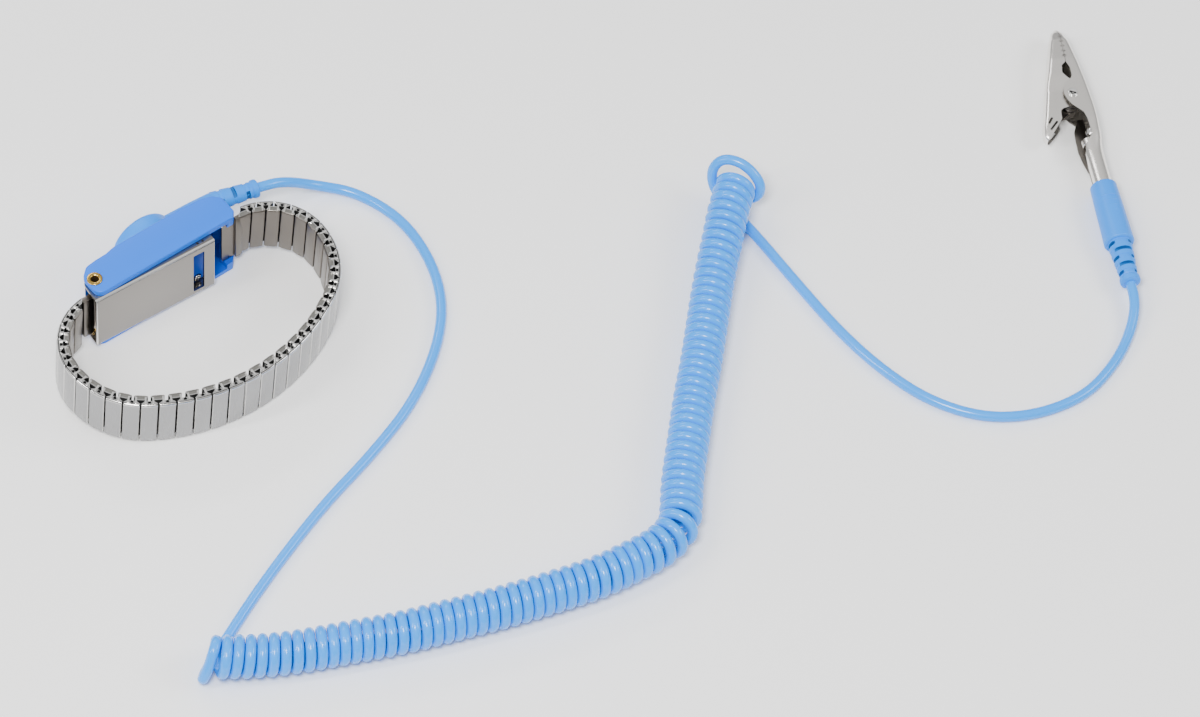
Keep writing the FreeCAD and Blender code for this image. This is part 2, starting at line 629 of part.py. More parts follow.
def clip_frame():
    """The clip end's own frame: x runs from the handle's face to the jaws' tips, and z is up."""
    place = Vector(dim("clip_across"), dim("clip_out"), dim("clip_height"))
    return Placement(place, Rotation(Z_AXIS, dim("clip_turn")))


def turned_piece(name, outline):
    """A piece turned about the clip end's axis, from its outline above that axis."""
    body = new_body(name + "_body")
    profile = sketch_on(body, "XY_Plane", name + "_profile")
    draw_polygon(profile, outline)
    revolve(body, profile)
    body.Placement = clip_frame()
    return keep(name, body)


def build_handle_and_plug():
    bore = "dims.plug_radius + 0.02"
    turned_piece("clip_handle", [
        (0, bore), (0, "dims.handle_face - 0.4"), (-0.4, "dims.handle_face"),
        ("-dims.handle_long * 0.6", "dims.handle_rear - 0.25"),
        ("-dims.handle_long + 0.7", "dims.handle_rear"),
        ("-dims.handle_long", "dims.handle_rear - 0.7"), ("-dims.handle_long", 0),
        ("-dims.plug_inside - 0.05", 0), ("-dims.plug_inside - 0.05", bore),
    ])
    turned_piece("banana_plug", [
        ("-dims.plug_inside", 0), ("-dims.plug_inside", "dims.plug_radius"),
        ("dims.plug_out - 0.8", "dims.plug_radius"), ("dims.plug_out", "dims.plug_radius - 0.7"),
        ("dims.plug_out", 0),
    ])
    inside = "dims.plug_radius + 0.03"
    turned_piece("banana_spring", [
        ("dims.plug_out - 2", inside), ("dims.plug_out - 2", "dims.plug_radius + 0.2"),
        ("dims.plug_out - 5", "dims.plug_spring"), ("dims.plug_out - 7.5", "dims.plug_spring"),
        ("dims.plug_out - 11", "dims.plug_radius + 0.2"), ("dims.plug_out - 11", inside),
    ])


# The jaws' back lines, in the clip end's frame.
FIXED_BACK = [(12.5, -2.45), (24, -2.8), (32, -2.4), (40, -1.7), (46.5, -1.4), (50, -0.7), (51.3, 0.7)]
MOVING_BACK = [(51.2, 1.9), (50.2, 3.1), (44, 4.8), (38.2, 6.2), (31.3, 8.3), (23.1, 10.4), (19.6, 11.3),
               (17.2, 10.9), (15.4, 9.7)]


def tooth_notches(away):
    """The outlines of the notches that leave the teeth, along the line where the jaws meet."""
    wide = dim("tooth")
    mouth = dim("teeth_line") + away * 0.2
    deep = dim("teeth_line") - away * dim("tooth_deep")
    notches = []
    for i in range(int(dim("teeth"))):
        left = dim("tooth_start") + i * wide * 1.3
        notches.append([(left, mouth), (left + wide, mouth), (left + wide / 2, deep)])
    return notches


def jaw_channel(name, back, edge, half, away):
    """A jaw folded from sheet: two cheeks inside the outline, joined by a back that follows the back line."""
    body = new_body(name + "_body")
    outline = sketch_on(body, "XY_Plane", name + "_outline")
    draw_polygon(outline, back + edge)
    pad(body, outline, f"2 * ({half})", midplane=True)
    lifted = [(across, off + away * dim("clip_sheet")) for across, off in back]
    ends = [(lifted[-1][0] + away, away * 30), (lifted[0][0] - away, away * 30)]
    hollow = sketch_on(body, "XY_Plane", name + "_hollow")
    draw_polygon(hollow, lifted + ends)
    pocket(body, hollow, f"2 * ({half} - dims.clip_sheet)", midplane=True)
    pin = sketch_on(body, "XY_Plane", name + "_pin_hole")
    draw_circle(pin, "dims.pin_along", "dims.pin_off", "dims.pin_radius + 0.04")
    pocket(body, pin, "20", midplane=True)
    teeth = sketch_on(body, "XY_Plane", name + "_teeth")
    for notch in tooth_notches(away):
        draw_polygon(teeth, notch)
    pocket(body, teeth, "20", midplane=True)
    return body


def build_clip():
    line = dim("teeth_line")
    pin = Vector(dim("pin_along"), dim("pin_off"), 0)
    fixed = jaw_channel("clip_jaw_fixed", FIXED_BACK, [
        (51.3, line - 0.04), (38.6, line - 0.04), (37.2, line - 1.0), (34.6, line - 1.0),
        (33.2, line - 0.04), (31.4, pin.y + 1.6), (29.8, pin.y + 2.6), (27.6, pin.y + 2.6),
        (25.6, pin.y + 1.6), (22, 0.6), (12.5, 0.2),
    ], "dims.clip_half", 1)
    ring = sketch_on(fixed, "YZ_Plane", "barrel_ring")
    draw_circle(ring, 0, 0, "dims.barrel_radius")
    draw_circle(ring, 0, 0, "dims.barrel_bore")
    ring.AttachmentOffset = Placement(Vector(0, 0, dim("barrel_start")), Rotation())
    pad(fixed, ring, "dims.barrel_end - dims.barrel_start")
    clear = sketch_on(fixed, "YZ_Plane", "barrel_clear")
    draw_circle(clear, 0, 0, "dims.barrel_bore")
    pocket(fixed, clear, "dims.plug_out + 0.6", backwards=True)
    fixed.Placement = clip_frame()
    keep("clip_jaw_fixed", fixed)

    moving = jaw_channel("clip_jaw_moving", MOVING_BACK, [
        (17.5, 7.9), (20.6, 6.2), (23.2, 5.9), (25.0, 4.0), (25.6, 1.2), (27, -0.3), (29.6, -0.3),
        (31.4, 0.9), (33.2, line + 0.04), (34.6, line + 1.0), (37.2, line + 1.0), (38.6, line + 0.04),
        (51.2, line + 0.04),
    ], "dims.clip_half - dims.clip_sheet - dims.jaw_gap", -1)
    moving.Placement = clip_frame()
    keep("clip_jaw_moving", moving)

    build_pin_and_spring()
    head = rod("screw_head", "dims.screw_radius", "dims.screw_tall",
               ("dims.screw_along", "dims.screw_off", "0"), Vector(0, 1, 0))
    in_clip_frame("terminal_screw", head)


def build_pin_and_spring():
    """The pivot with its two heads, and the torsion spring round it with one leg for each jaw."""
    at = ("dims.pin_along", "dims.pin_off")
    upper = rod("pin_upper", "dims.pin_head", "dims.pin_head_tall", (*at, "dims.clip_half + 0.01"))
    lower = rod("pin_lower", "dims.pin_head", "dims.pin_head_tall",
                (*at, "-dims.clip_half - dims.pin_head_tall - 0.01"))
    core = rod("pin_core", "dims.pin_radius", "2 * dims.clip_half + 0.2", (*at, "-dims.clip_half - 0.1"))
    in_clip_frame("clip_pin", fuse("pin_solid", upper, lower, core))

    coil = rod("spring_coil", "dims.spring_radius", "dims.spring_tall", (*at, "-dims.spring_tall / 2"))
    leg = box("spring_leg_fixed",
              ("dims.pin_along - dims.leg_long", "dims.pin_off - dims.spring_radius", "1.2"),
              ("dims.leg_long", "dims.spring_wire", "dims.spring_wire"))
    hollow = rod("spring_hollow", "dims.spring_radius - dims.spring_wire", "dims.spring_tall + 0.6",
                 (*at, "-dims.spring_tall / 2 - 0.3"))
    in_clip_frame("clip_spring", cut("spring_cut", fuse("spring_solid", coil, leg), hollow))
    arm = doc.addObject("Part::Box", "spring_arm_solid")
    foot = Vector(dim("pin_along") - 2.9, dim("pin_off") + 1.2, -1.8)
    arm.Placement = Placement(foot, Rotation(Z_AXIS, dim("arm_turn")))
    bind(arm, Length="dims.arm_long", Width="dims.spring_wire", Height="dims.spring_wire")
    in_clip_frame("spring_arm", arm)


def in_clip_frame(name, feature):
    """Stands a piece that was built round the clip's axis in its place."""
    moved = doc.addObject("Part::Compound", name + "_placed")
    moved.Links = [feature]
    moved.Placement = clip_frame()
    return keep(name, moved)


# ---------------------------------------------------------------- cord

# The cord's corners, from the snap to the clip. FLOOR is the middle of a lead that lies on the floor.
FLOOR = DIMENSIONS["cord"] / 2
LEAD_WRIST = [
    (35.9, 22.4, 11.0), (42.4, 21.4, 9.7), (52.0, 19.3, 2.9), (60.0, 12.3, 1.4), (64.2, -3.2, FLOOR),
    (60.2, -21.8, FLOOR), (50.3, -35.8, FLOOR), (32.2, -48.3, FLOOR), (12.0, -55.4, FLOOR),
    (-3.6, -59.5, FLOOR), (-20.0, -65.4, FLOOR), (-34.5, -71.3, FLOOR), (-47.0, -77.1, FLOOR),
    (-55.0, -80.6, FLOOR),
]
COIL_AXIS = [
    (-57.6, -80.8, 5.4), (-43.5, -89.6, 5.4), (-25.7, -98.0, 5.4), (-2.5, -107.3, 5.4), (21.8, -115.4, 5.4),
    (40.0, -119.9, 5.4), (52.5, -121.3, 5.4), (61.5, -117.6, 5.4), (69.5, -108.0, 5.4), (86.0, -91.6, 5.4),
    (104.4, -74.5, 5.4), (119.5, -61.1, 6.7), (129.5, -52.6, 8.2), (137.0, -46.3, 8.3),
]
LEAD_CLIP = [
    (136.2, -44.5, 3.6), (133.6, -59.6, FLOOR), (132.0, -77.4, FLOOR), (131.3, -94.8, FLOOR),
    (132.3, -110.2, FLOOR), (135.6, -124.4, FLOOR), (143.2, -136.6, FLOOR), (154.6, -144.0, FLOOR),
    (168.5, -146.9, FLOOR), (181.0, -143.9, FLOOR), (190.4, -139.2, FLOOR), (196.9, -133.9, 3.2),
    (199.75, -128.65, 4.15),
]


def cord_path(points):
    """Straight runs joined by tangent arcs, each as large as its shorter run allows. Also gives the radii."""
    corners = [Vector(*point) for point in points]
    edges, radii = [], []
    start = corners[0]
    for before, corner, after in zip(corners, corners[1:], corners[2:]):
        arriving = (corner - before).normalize()
        leaving = (after - corner).normalize()
        turn = arriving.getAngle(leaving)
        trim = 0.45 * min(corner.distanceToPoint(before), corner.distanceToPoint(after))
        radii.append(trim / tan(turn / 2))
        enter = corner - arriving * trim
        leave = corner + leaving * trim
        bisector = (leaving - arriving).normalize()
        deep = radii[-1] / cos(turn / 2) - radii[-1]
        edges.append(Part.LineSegment(start, enter).toShape())
        edges.append(Part.Arc(enter, corner + bisector * deep, leave).toShape())
        start = leave
    edges.append(Part.LineSegment(start, corners[-1]).toShape())
    return Part.Wire(edges), radii


def build_tube(name, points, diameter):
    """A round tube along a path. Its volume has to be its section times its length."""
    path, radii = cord_path(points)
    first = Vector(*points[0])
    heading = (Vector(*points[1]) - first).normalize()
    circle = Part.Wire(Part.makeCircle(diameter / 2, first, heading))
    tube = doc.addObject("Part::Feature", name + "_tube")
    tube.Shape = path.makePipeShell([circle], True, False)
    tube.Placement = Placement()
    expected = pi * diameter ** 2 / 4 * path.Length
    print(f"{name}: length {path.Length:.1f}, radii {[round(r, 1) for r in radii]}, "
          f"volume ratio {tube.Shape.Volume / expected:.4f}")
    return keep(name, tube)


# ---------------------------------------------------------------- the whole strap

def check_and_export():
    for feature in doc.Objects:
        if {"Invalid", "Error"} & set(feature.State):
            raise RuntimeError(f"{feature.Name} failed: {feature.State}")
    os.makedirs("parts", exist_ok=True)
    for name, feature in nodes.items():
        shape = feature.Shape
        if shape.isNull() or not shape.isValid() or not shape.Solids:
            raise RuntimeError(f"{name} has no valid solid")
        shape.exportStep(f"parts/{name}.step")
    print(len(nodes), "pieces")


build_housing()
build_eyelet()
build_cover()
build_clasp_insides()
build_band()
build_band_ends()
build_connector()
build_reliefs()
build_handle_and_plug()
build_clip()
build_tube("cord_lead_wrist", LEAD_WRIST, dim("cord"))
build_tube("cord_coil", COIL_AXIS, dim("coil"))
build_tube("cord_lead_clip", LEAD_CLIP, dim("cord"))
doc.recompute()
check_and_export()
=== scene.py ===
from math import atan2, cos, pi, radians, sin, sqrt, tan

import bmesh
import bpy
from mathutils import Matrix, Vector


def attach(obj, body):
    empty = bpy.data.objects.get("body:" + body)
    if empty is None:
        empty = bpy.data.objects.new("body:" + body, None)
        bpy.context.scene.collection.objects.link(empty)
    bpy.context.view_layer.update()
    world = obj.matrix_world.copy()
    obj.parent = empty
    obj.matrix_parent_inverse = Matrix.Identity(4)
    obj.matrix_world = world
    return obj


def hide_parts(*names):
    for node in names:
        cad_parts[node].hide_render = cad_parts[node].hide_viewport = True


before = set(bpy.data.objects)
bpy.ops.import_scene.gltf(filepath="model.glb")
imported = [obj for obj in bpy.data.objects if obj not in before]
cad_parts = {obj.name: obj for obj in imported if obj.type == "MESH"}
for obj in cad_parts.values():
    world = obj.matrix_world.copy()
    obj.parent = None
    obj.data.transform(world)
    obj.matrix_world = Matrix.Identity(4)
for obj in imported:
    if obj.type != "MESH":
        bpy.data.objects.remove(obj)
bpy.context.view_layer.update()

# Everything is written in millimetres, in the row frame, and scaled to metres as each mesh is made.
MM = 0.001


# ---------------------------------------------------------------- mesh helpers

def to_object(name, bm, matrix=Matrix()):
    """Makes an object from a bmesh in millimetres. matrix places it, in millimetres too."""
    bmesh.ops.remove_doubles(bm, verts=bm.verts, dist=1e-5)
    bmesh.ops.recalc_face_normals(bm, faces=bm.faces)
    bm.transform(Matrix.Scale(MM, 4) @ matrix)
    if matrix.determinant() < 0:
        bmesh.ops.reverse_faces(bm, faces=bm.faces)
    mesh = bpy.data.meshes.new(name)
    bm.to_mesh(mesh)
    bm.free()
    obj = bpy.data.objects.new(name, mesh)
    bpy.context.scene.collection.objects.link(obj)
    return obj


def smooth(obj, limit=32):
    """Smooth shading, with the edges that turn more than the limit kept sharp."""
    bm = bmesh.new()
    bm.from_mesh(obj.data)
    for face in bm.faces:
        face.smooth = True
    for edge in bm.edges:
        edge.smooth = len(edge.link_faces) == 2 and edge.calc_face_angle(0) < radians(limit)
    bm.to_mesh(obj.data)
    bm.free()
    return obj


def bake(obj):
    """Applies the object's modifiers."""
    graph = bpy.context.evaluated_depsgraph_get()
    mesh = bpy.data.meshes.new_from_object(obj.evaluated_get(graph))
    obj.modifiers.clear()
    old, obj.data = obj.data, mesh
    bpy.data.meshes.remove(old)
    mesh.name = obj.name
    return obj


def combine(obj, tools, how):
    """A boolean with each tool in turn. The tools are used up, and their finish stays on the faces they cut."""
    for tool in tools:
        modifier = obj.modifiers.new("cut", "BOOLEAN")
        modifier.operation = how
        modifier.solver = "EXACT"
        modifier.material_mode = "TRANSFER"
        modifier.object = tool
        bpy.context.view_layer.update()
        bake(obj)
        bpy.data.objects.remove(tool)
    bm = bmesh.new()
    bm.from_mesh(obj.data)
    bmesh.ops.remove_doubles(bm, verts=bm.verts, dist=2e-6)
    bmesh.ops.dissolve_degenerate(bm, edges=bm.edges, dist=1e-6)
    bm.to_mesh(obj.data)
    bm.free()
    return obj


def finished(obj, finish):
    """Gives the object its finish before a boolean."""
    obj.data.materials.append(finish)
    return obj


def cut(obj, *tools):
    """Takes the tools away."""
    return combine(obj, tools, "DIFFERENCE")


def join(obj, *tools):
    """Adds the tools."""
    return combine(obj, tools, "UNION")


def rounded(corners, radius, steps=5):
    """An outline with its corners rounded. A corner may carry its own radius as a third number."""
    points = []
    count = len(corners)
    for i, corner in enumerate(corners):
        here = Vector(corner[:2])
        back = Vector(corners[i - 1][:2]) - here
        ahead = Vector(corners[(i + 1) % count][:2]) - here
        turn = pi - back.angle(ahead)
        wanted = corner[2] if len(corner) > 2 else radius
        if wanted <= 0 or turn < 0.05:
            points.append(here)
            continue
        trim = min(wanted * tan(turn / 2), 0.48 * back.length, 0.48 * ahead.length)
        fillet = trim / tan(turn / 2)
        first = here + back.normalized() * trim
        centre = here + (back.normalized() + ahead.normalized()).normalized() * (fillet / cos(turn / 2))
        arm = first - centre
        side = 1 if back.cross(ahead) < 0 else -1
        for k in range(steps + 1):
            angle = side * turn * k / steps
            points.append(centre + Vector((arm.x * cos(angle) - arm.y * sin(angle),
                                           arm.x * sin(angle) + arm.y * cos(angle))))
    return points


def inset(points, depth):
    """The outline moved inwards by depth. The outline runs counterclockwise."""
    moved = []
    count = len(points)
    for i, here in enumerate(points):
        before = (here - points[i - 1]).normalized()
        after = (points[(i + 1) % count] - here).normalized()
        normal = Vector((-before.y - after.y, before.x + after.x))
        share = normal.length / 2
        moved.append(here + normal.normalized() * (depth / max(share, 0.35)))
    return moved


def counterclockwise(points):
    """The outline, turned round if it runs clockwise."""
    area = sum(points[i - 1].cross(points[i]) for i in range(len(points)))
    return points if area > 0 else points[::-1]


def skin(bm, rings, closed=True, caps=True):
    """Faces between rings of points, each ring the same length."""
    loops = [[bm.verts.new(point) for point in ring] for ring in rings]
    size = len(loops[0])
    last = size if closed else size - 1
    for lower, upper in zip(loops, loops[1:]):
        for i in range(last):
            j = (i + 1) % size
            bm.faces.new((lower[i], lower[j], upper[j], upper[i]))
    if caps:
        bm.faces.new(loops[0][::-1])
        bm.faces.new(loops[-1])
    return loops


def prism(name, points, low, high, rim=0.0, steps=4, matrix=Matrix()):
    """A block with this outline, its two rims rounded."""
    points = counterclockwise(points)
    levels = [(low + rim * (1 - cos(a)), rim * (1 - sin(a))) for a in
              [pi / 2 * k / steps for k in range(steps + 1)]] if rim else [(low, 0)]
    levels += [(high + low - z, depth) for z, depth in levels[::-1]]
    rings = []
    for z, depth in levels:
        ring = inset(points, depth) if depth else points
        rings.append([Vector((p.x, p.y, z)) for p in ring])
    bm = bmesh.new()
    skin(bm, rings)
    return to_object(name, bm, matrix)


def rectangle(x0, y0, x1, y1):
    """Its corners, counterclockwise."""
    return [(x0, y0), (x1, y0), (x1, y1), (x0, y1)]


def lathe(name, profile, segments=48, matrix=Matrix(), loop=False):
    """Turns a profile of (along, radius) pairs about the x axis. A looped profile is a ring's section."""
    bm = bmesh.new()
    rings = []
    for k in range(segments):
        angle = 2 * pi * k / segments
        rings.append([bm.verts.new((x, r * cos(angle), r * sin(angle))) for x, r in profile])
    size = len(profile)
    for k in range(segments):
        here, after = rings[k], rings[(k + 1) % segments]
        for i in range(size if loop else size - 1):
            j = (i + 1) % size
            corners = [here[i], here[j], after[j], after[i]]
            if profile[i][1] < 1e-6:
                corners = [here[i], here[j], after[j]]
            elif profile[j][1] < 1e-6:
                corners = [here[i], here[j], after[i]]
            bm.faces.new(corners)
    return to_object(name, bm, matrix)


def arc(cx, cy, radius, first, last, steps):
    """Points of an arc, its angles in degrees."""
    return [(cx + radius * cos(radians(first + (last - first) * k / steps)),
             cy + radius * sin(radians(first + (last - first) * k / steps))) for k in range(steps + 1)]


def facing(direction, at):
    """A matrix that stands the x axis along a direction, at a point."""
    return Matrix.Translation(Vector(at)) @ Vector(direction).to_track_quat("X", "Z").to_matrix().to_4x4()


def tube(name, points, radius, matrix=Matrix(), sides=6, steps=6):
    """A wire through control points, as a mesh."""
    curve = bpy.data.curves.new(name, "CURVE")
    curve.dimensions = "3D"
    curve.bevel_depth = radius * MM
    curve.bevel_resolution = sides
    curve.resolution_u = steps
    curve.use_fill_caps = True
    spline = curve.splines.new("NURBS")
    spline.points.add(len(points) - 1)
    for place, point in zip(spline.points, points):
        place.co = (*(matrix @ Vector(point) * MM), 1)
    spline.order_u = 3
    spline.use_endpoint_u = True
    obj = bpy.data.objects.new(name, curve)
    bpy.context.scene.collection.objects.link(obj)
    return obj


def to_mesh(obj):
    """Turns a curve object into a mesh object of the same name."""
    graph = bpy.context.evaluated_depsgraph_get()
    mesh = bpy.data.meshes.new_from_object(obj.evaluated_get(graph))
    name = obj.name
    bpy.data.objects.remove(obj)
    made = bpy.data.objects.new(name, mesh)
    bpy.context.scene.collection.objects.link(made)
    return made


# ---------------------------------------------------------------- materials

def material(name, color, roughness, metallic=0.0, coat=0.0, grain=0.0, grain_size=900.0, stretch=(1, 1, 1),
             bump=0.0, shine=0.5):
    """A principled material whose roughness and relief vary a little over the surface."""
    made = bpy.data.materials.new(name)
    made.use_nodes = True
    nodes, links = made.node_tree.nodes, made.node_tree.links
    shader = nodes["Principled BSDF"]
    shader.inputs["Base Color"].default_value = (*color, 1)
    shader.inputs["Roughness"].default_value = roughness
    shader.inputs["Metallic"].default_value = metallic
    shader.inputs["Coat Weight"].default_value = coat
    shader.inputs["Coat Roughness"].default_value = 0.12
    shader.inputs["Specular IOR Level"].default_value = shine
    place = nodes.new("ShaderNodeTexCoord")
    scale = nodes.new("ShaderNodeMapping")
    scale.inputs["Scale"].default_value = stretch
    noise = nodes.new("ShaderNodeTexNoise")
    noise.inputs["Scale"].default_value = grain_size
    noise.inputs["Detail"].default_value = 4
    links.new(place.outputs["Object"], scale.inputs["Vector"])
    links.new(scale.outputs["Vector"], noise.inputs["Vector"])
    if grain:
        spread = nodes.new("ShaderNodeMapRange")
        spread.inputs["To Min"].default_value = max(0.02, roughness - grain)
        spread.inputs["To Max"].default_value = roughness + grain
        links.new(noise.outputs["Fac"], spread.inputs["Value"])
        links.new(spread.outputs["Result"], shader.inputs["Roughness"])
    if bump:
        relief = nodes.new("ShaderNodeBump")
        relief.inputs["Strength"].default_value = bump
        relief.inputs["Distance"].default_value = 0.0001
        links.new(noise.outputs["Fac"], relief.inputs["Height"])
        links.new(relief.outputs["Normal"], shader.inputs["Normal"])
    return made


HOUSING = material("housing_blue", (0.0, 0.15, 0.80), 0.42, grain=0.05, bump=0.04, shine=0.3)
# Painted shade: a darker blue for the housing's inside faces and the clamp block, where shade falls.
SHADE = material("housing_painted_shade", (0.0, 0.075, 0.55), 0.45, grain=0.05, bump=0.04, shine=0.3)
CORD = material("cord_blue", (0.0, 0.30, 0.95), 0.22, coat=0.25, grain=0.04, bump=0.02, shine=0.4)
MOULDED = material("moulded_blue", (0.0, 0.245, 0.88), 0.40, grain=0.05, bump=0.04, shine=0.35)
# Painted shade: a darker blue for the faces of the reliefs' slots and the handle's bore.
GROOVE_SHADE = material("moulded_painted_shade", (0.0, 0.12, 0.42), 0.5, grain=0.05, shine=0.3)
# Brushed metal has its grain drawn out along the links, or along the cover.
UP_LINK, ALONG_COVER = (1, 1, 0.06), (0.05, 1, 1)
SATIN = material("satin_steel", (0.31, 0.31, 0.315), 0.27, 1, grain=0.06, grain_size=700, stretch=UP_LINK,
                 bump=0.06)
INNER = material("inner_steel", (0.18, 0.163, 0.146), 0.30, 1, grain=0.07, grain_size=700, stretch=UP_LINK,
                 bump=0.06)
TILE = material("pressed_steel", (0.24, 0.235, 0.22), 0.42, 1, grain=0.12, grain_size=2600, bump=0.5)
COVER = material("cover_steel", (0.27, 0.256, 0.242), 0.25, 1, grain=0.05, grain_size=500,
                 stretch=ALONG_COVER, bump=0.05)
# Painted highlight: a lighter steel on the links' rims and edges.
GLINT_STEEL = material("painted_glint_edge", (0.60, 0.595, 0.585), 0.22, 1, grain=0.06, grain_size=900, bump=0.05)
WIRE = material("bright_wire", (0.86, 0.85, 0.83), 0.15, 1, grain=0.04)
NICKEL = material("nickel", (0.87, 0.84, 0.80), 0.25, 1, grain=0.07, grain_size=420, bump=0.05)
SPRING = material("spring_steel", (0.16, 0.15, 0.14), 0.35, 1, grain=0.06)
BRASS = material("brass", (0.50, 0.33, 0.09), 0.22, 1, grain=0.06, bump=0.05)
# Painted shade: near black brown for the inside of the eyelet's bore.
BORE_SHADE = material("brass_bore_painted_shade", (0.05, 0.028, 0.01), 0.5, 0.6, grain=0.06)
# Painted shade: near black on the faces of slots, pits, marks, recesses and link sides where shade falls.
SHADE_BLACK = material("painted_shade_black", (0.008, 0.008, 0.008), 0.6, 0.3, grain=0.1)
RESISTOR = material("resistor_coat", (0.66, 0.50, 0.30), 0.5, grain=0.08)


def piece(obj, body, finish, slot, *nodes):
    """Puts a finished mesh on its body, in the place of CAD nodes."""
    if finish and not obj.data.materials:
        obj.data.materials.append(finish)
    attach(obj, body)
    if nodes:
        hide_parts(*nodes)
    return obj


# ---------------------------------------------------------------- clasp housing

# X runs along the clasp, Y away from the wrist, and Z up from the surface that the strap lies on.
HINGE = (-18.9, 16.5)
CLASP_TALL, CLASP_BACK, CLASP_MIDDLE, STUD_ACROSS = 22, 22.0, 11, 2.2
UPRIGHT = Matrix.Rotation(pi / 2, 4, "X")
HOUSING_OUTLINE = [(-21, 12, 2.2), (20.2, 12, 0.7), (21.6, 13.5, 0.9), (21.6, 18.6, 1.4), (19.8, 20.6, 2.0),
                   (16.6, 21.6, 3), (13.4, 21.7, 3), (10.8, 22.0, 4), (-9.6, 22.0, 4), (-12.0, 21.45, 3),
                   (-15.2, 21.35, 3), (-18.4, 21.0, 2.6), (-21, 18.6, 2.6)]


def circle(across, deep, radius, count=24):
    """A round outline."""
    return [Vector(p) for p in arc(across, deep, radius, 0, 360 - 360 / count, count - 1)]


def build_housing():
    """A shell that is open towards the wrist, with a slot in its right wall for the band's end. The faces cut
    by the room and the slot take a darker blue as painted shade.
    """
    shell = prism("housing_shell", rounded(HOUSING_OUTLINE, 1, 8), 0, CLASP_TALL, 0.45)
    cavity = rounded(rectangle(-25, 1.6, 18.4, 20.4), 0.5, 4)
    room = finished(prism("room", cavity, -20, -8, 0.35, 3, UPRIGHT), SHADE)
    opening = rounded(rectangle(17, 3.2, 24, 18.8), 0.5, 4)
    slot = finished(prism("slot", opening, -18, -8, 0.35, 3, UPRIGHT), SHADE)
    eyelet = prism("eyelet_cut", circle(*HINGE, 1.35), -5, 30)
    sink = prism("sink_cut", circle(*HINGE, 2.06), -5, 0.36)
    stud = prism("stud_cut", circle(STUD_ACROSS, CLASP_MIDDLE, 1.6), -30, -10, matrix=UPRIGHT)
    cut(finished(shell, HOUSING), room, slot, eyelet, sink, stud)
    return piece(smooth(shell), "wristband", None, "housing_plastic", "housing")


def build_eyelet():
    """A tube rolled over at both ends, its bore painted dark as shade."""
    profile = [(0.12, 0.95), (0.02, 1.25)] + arc(0.22, 1.80, 0.22, 180, 90, 4)
    profile += [(0.36, 2.0), (0.4, 1.3), (21.98, 1.3), (22.0, 2.0)] + arc(22.06, 1.74, 0.27, 75, 20, 4)
    profile += [(22.3, 1.35), (22.22, 1.08), (22.05, 0.95)]
    obj = lathe("hinge_eyelet_tube", profile, 48, facing((0, 0, 1), (*HINGE, 0)), loop=True)
    finished(finished(obj, BRASS), BORE_SHADE)
    axis = Vector(HINGE) * MM
    # The bore's faces take the painted shade.
    for face in obj.data.polygons:
        away = (face.center.xy - axis).length / MM
        face.material_index = 1 if away < 0.98 and 0.1 < face.center.z / MM < 22.1 else 0
    return piece(smooth(obj, 40), "wristband", None, "brass", "hinge_eyelet")


def build_cover():
    """A channel folded from sheet, open ended, with two ears on the eyelet and a window. Its two marks are
    painted black as shade, and its bends carry a painted highlight in the bright wire finish.
    """
    ears = rounded([(-21.7, 11.4, 0.4), (13.3, 11.4, 0.3), (13.3, 14.4, 0.6), (12.2, 15.6, 0.6),
                    (-13.9, 15.6, 1.5), (-16.4, 18.8, 2.0), (-21.3, 18.8, 2.0), (-21.7, 13.0, 1.5)], 0.5, 6)
    outer = prism("cover_sheet", ears, 1.72, 20.28)
    along = Matrix.Rotation(pi / 2, 4, "Z") @ Matrix.Rotation(pi / 2, 4, "X")
    bar = prism("bar", rounded(rectangle(11.4, 1.72, 40, 20.28), 0.85, 6), -30, 30, matrix=along)
    combine(finished(outer, COVER), [finished(bar, COVER)], "INTERSECT")
    room = prism("room", rounded(rectangle(12.0, 2.32, 40, 19.68), 0.35, 4), -31, 31, matrix=along)
    hole = prism("hole", circle(*HINGE, 1.36), -5, 30)
    window = prism("window", rounded(rectangle(6.9, 3.4, 10.1, 18.0), 0.25, 3), -13, -9, matrix=UPRIGHT)
    cut(outer, room, hole, window)
    # The two marks, their faces painted black as shade.
    marks = [finished(prism("mark", circle(x, 12.9, 0.34, 12), 20.05, 21), SHADE_BLACK)
             for x in (9.1, 10.6)]
    cut(outer, *marks)
    # Painted highlight: the faces of the bends take the bright wire finish.
    finished(outer, WIRE)
    bend_glint = len(outer.data.materials) - 1
    for face in outer.data.polygons:
        if face.normal.y < -0.2 and (0.3 < abs(face.normal.z) < 0.95 or 0.3 < abs(face.normal.x) < 0.95):
            face.material_index = bend_glint
    ajar = Matrix.Translation((*HINGE, 0)) @ Matrix.Rotation(radians(-2.9), 4, "Z") @ Matrix.Translation(
        (-HINGE[0], -HINGE[1], 0))
    outer.data.transform(Matrix.Scale(MM, 4) @ ajar @ Matrix.Scale(1 / MM, 4))
    return piece(smooth(outer, 28), "cover", None, "stainless", "cover_plate")


def star_crimped(rivet, at, direction, reach, finish):
    """Presses a cross into a rivet's head, its grooves painted black as shade."""
    tools = []
    for turn in (35, 125):
        place = facing(direction, at) @ Matrix.Rotation(radians(turn), 4, "X")
        place = place @ Matrix.Rotation(pi / 2, 4, "Y")
        bar = prism("bar", [Vector(p) for p in rectangle(-0.3, -reach, 0.12, reach)], -0.1, 0.1, matrix=place)
        tools.append(finished(bar, SHADE_BLACK))
    cut(finished(rivet, finish), *tools)
    return smooth(rivet, 45)


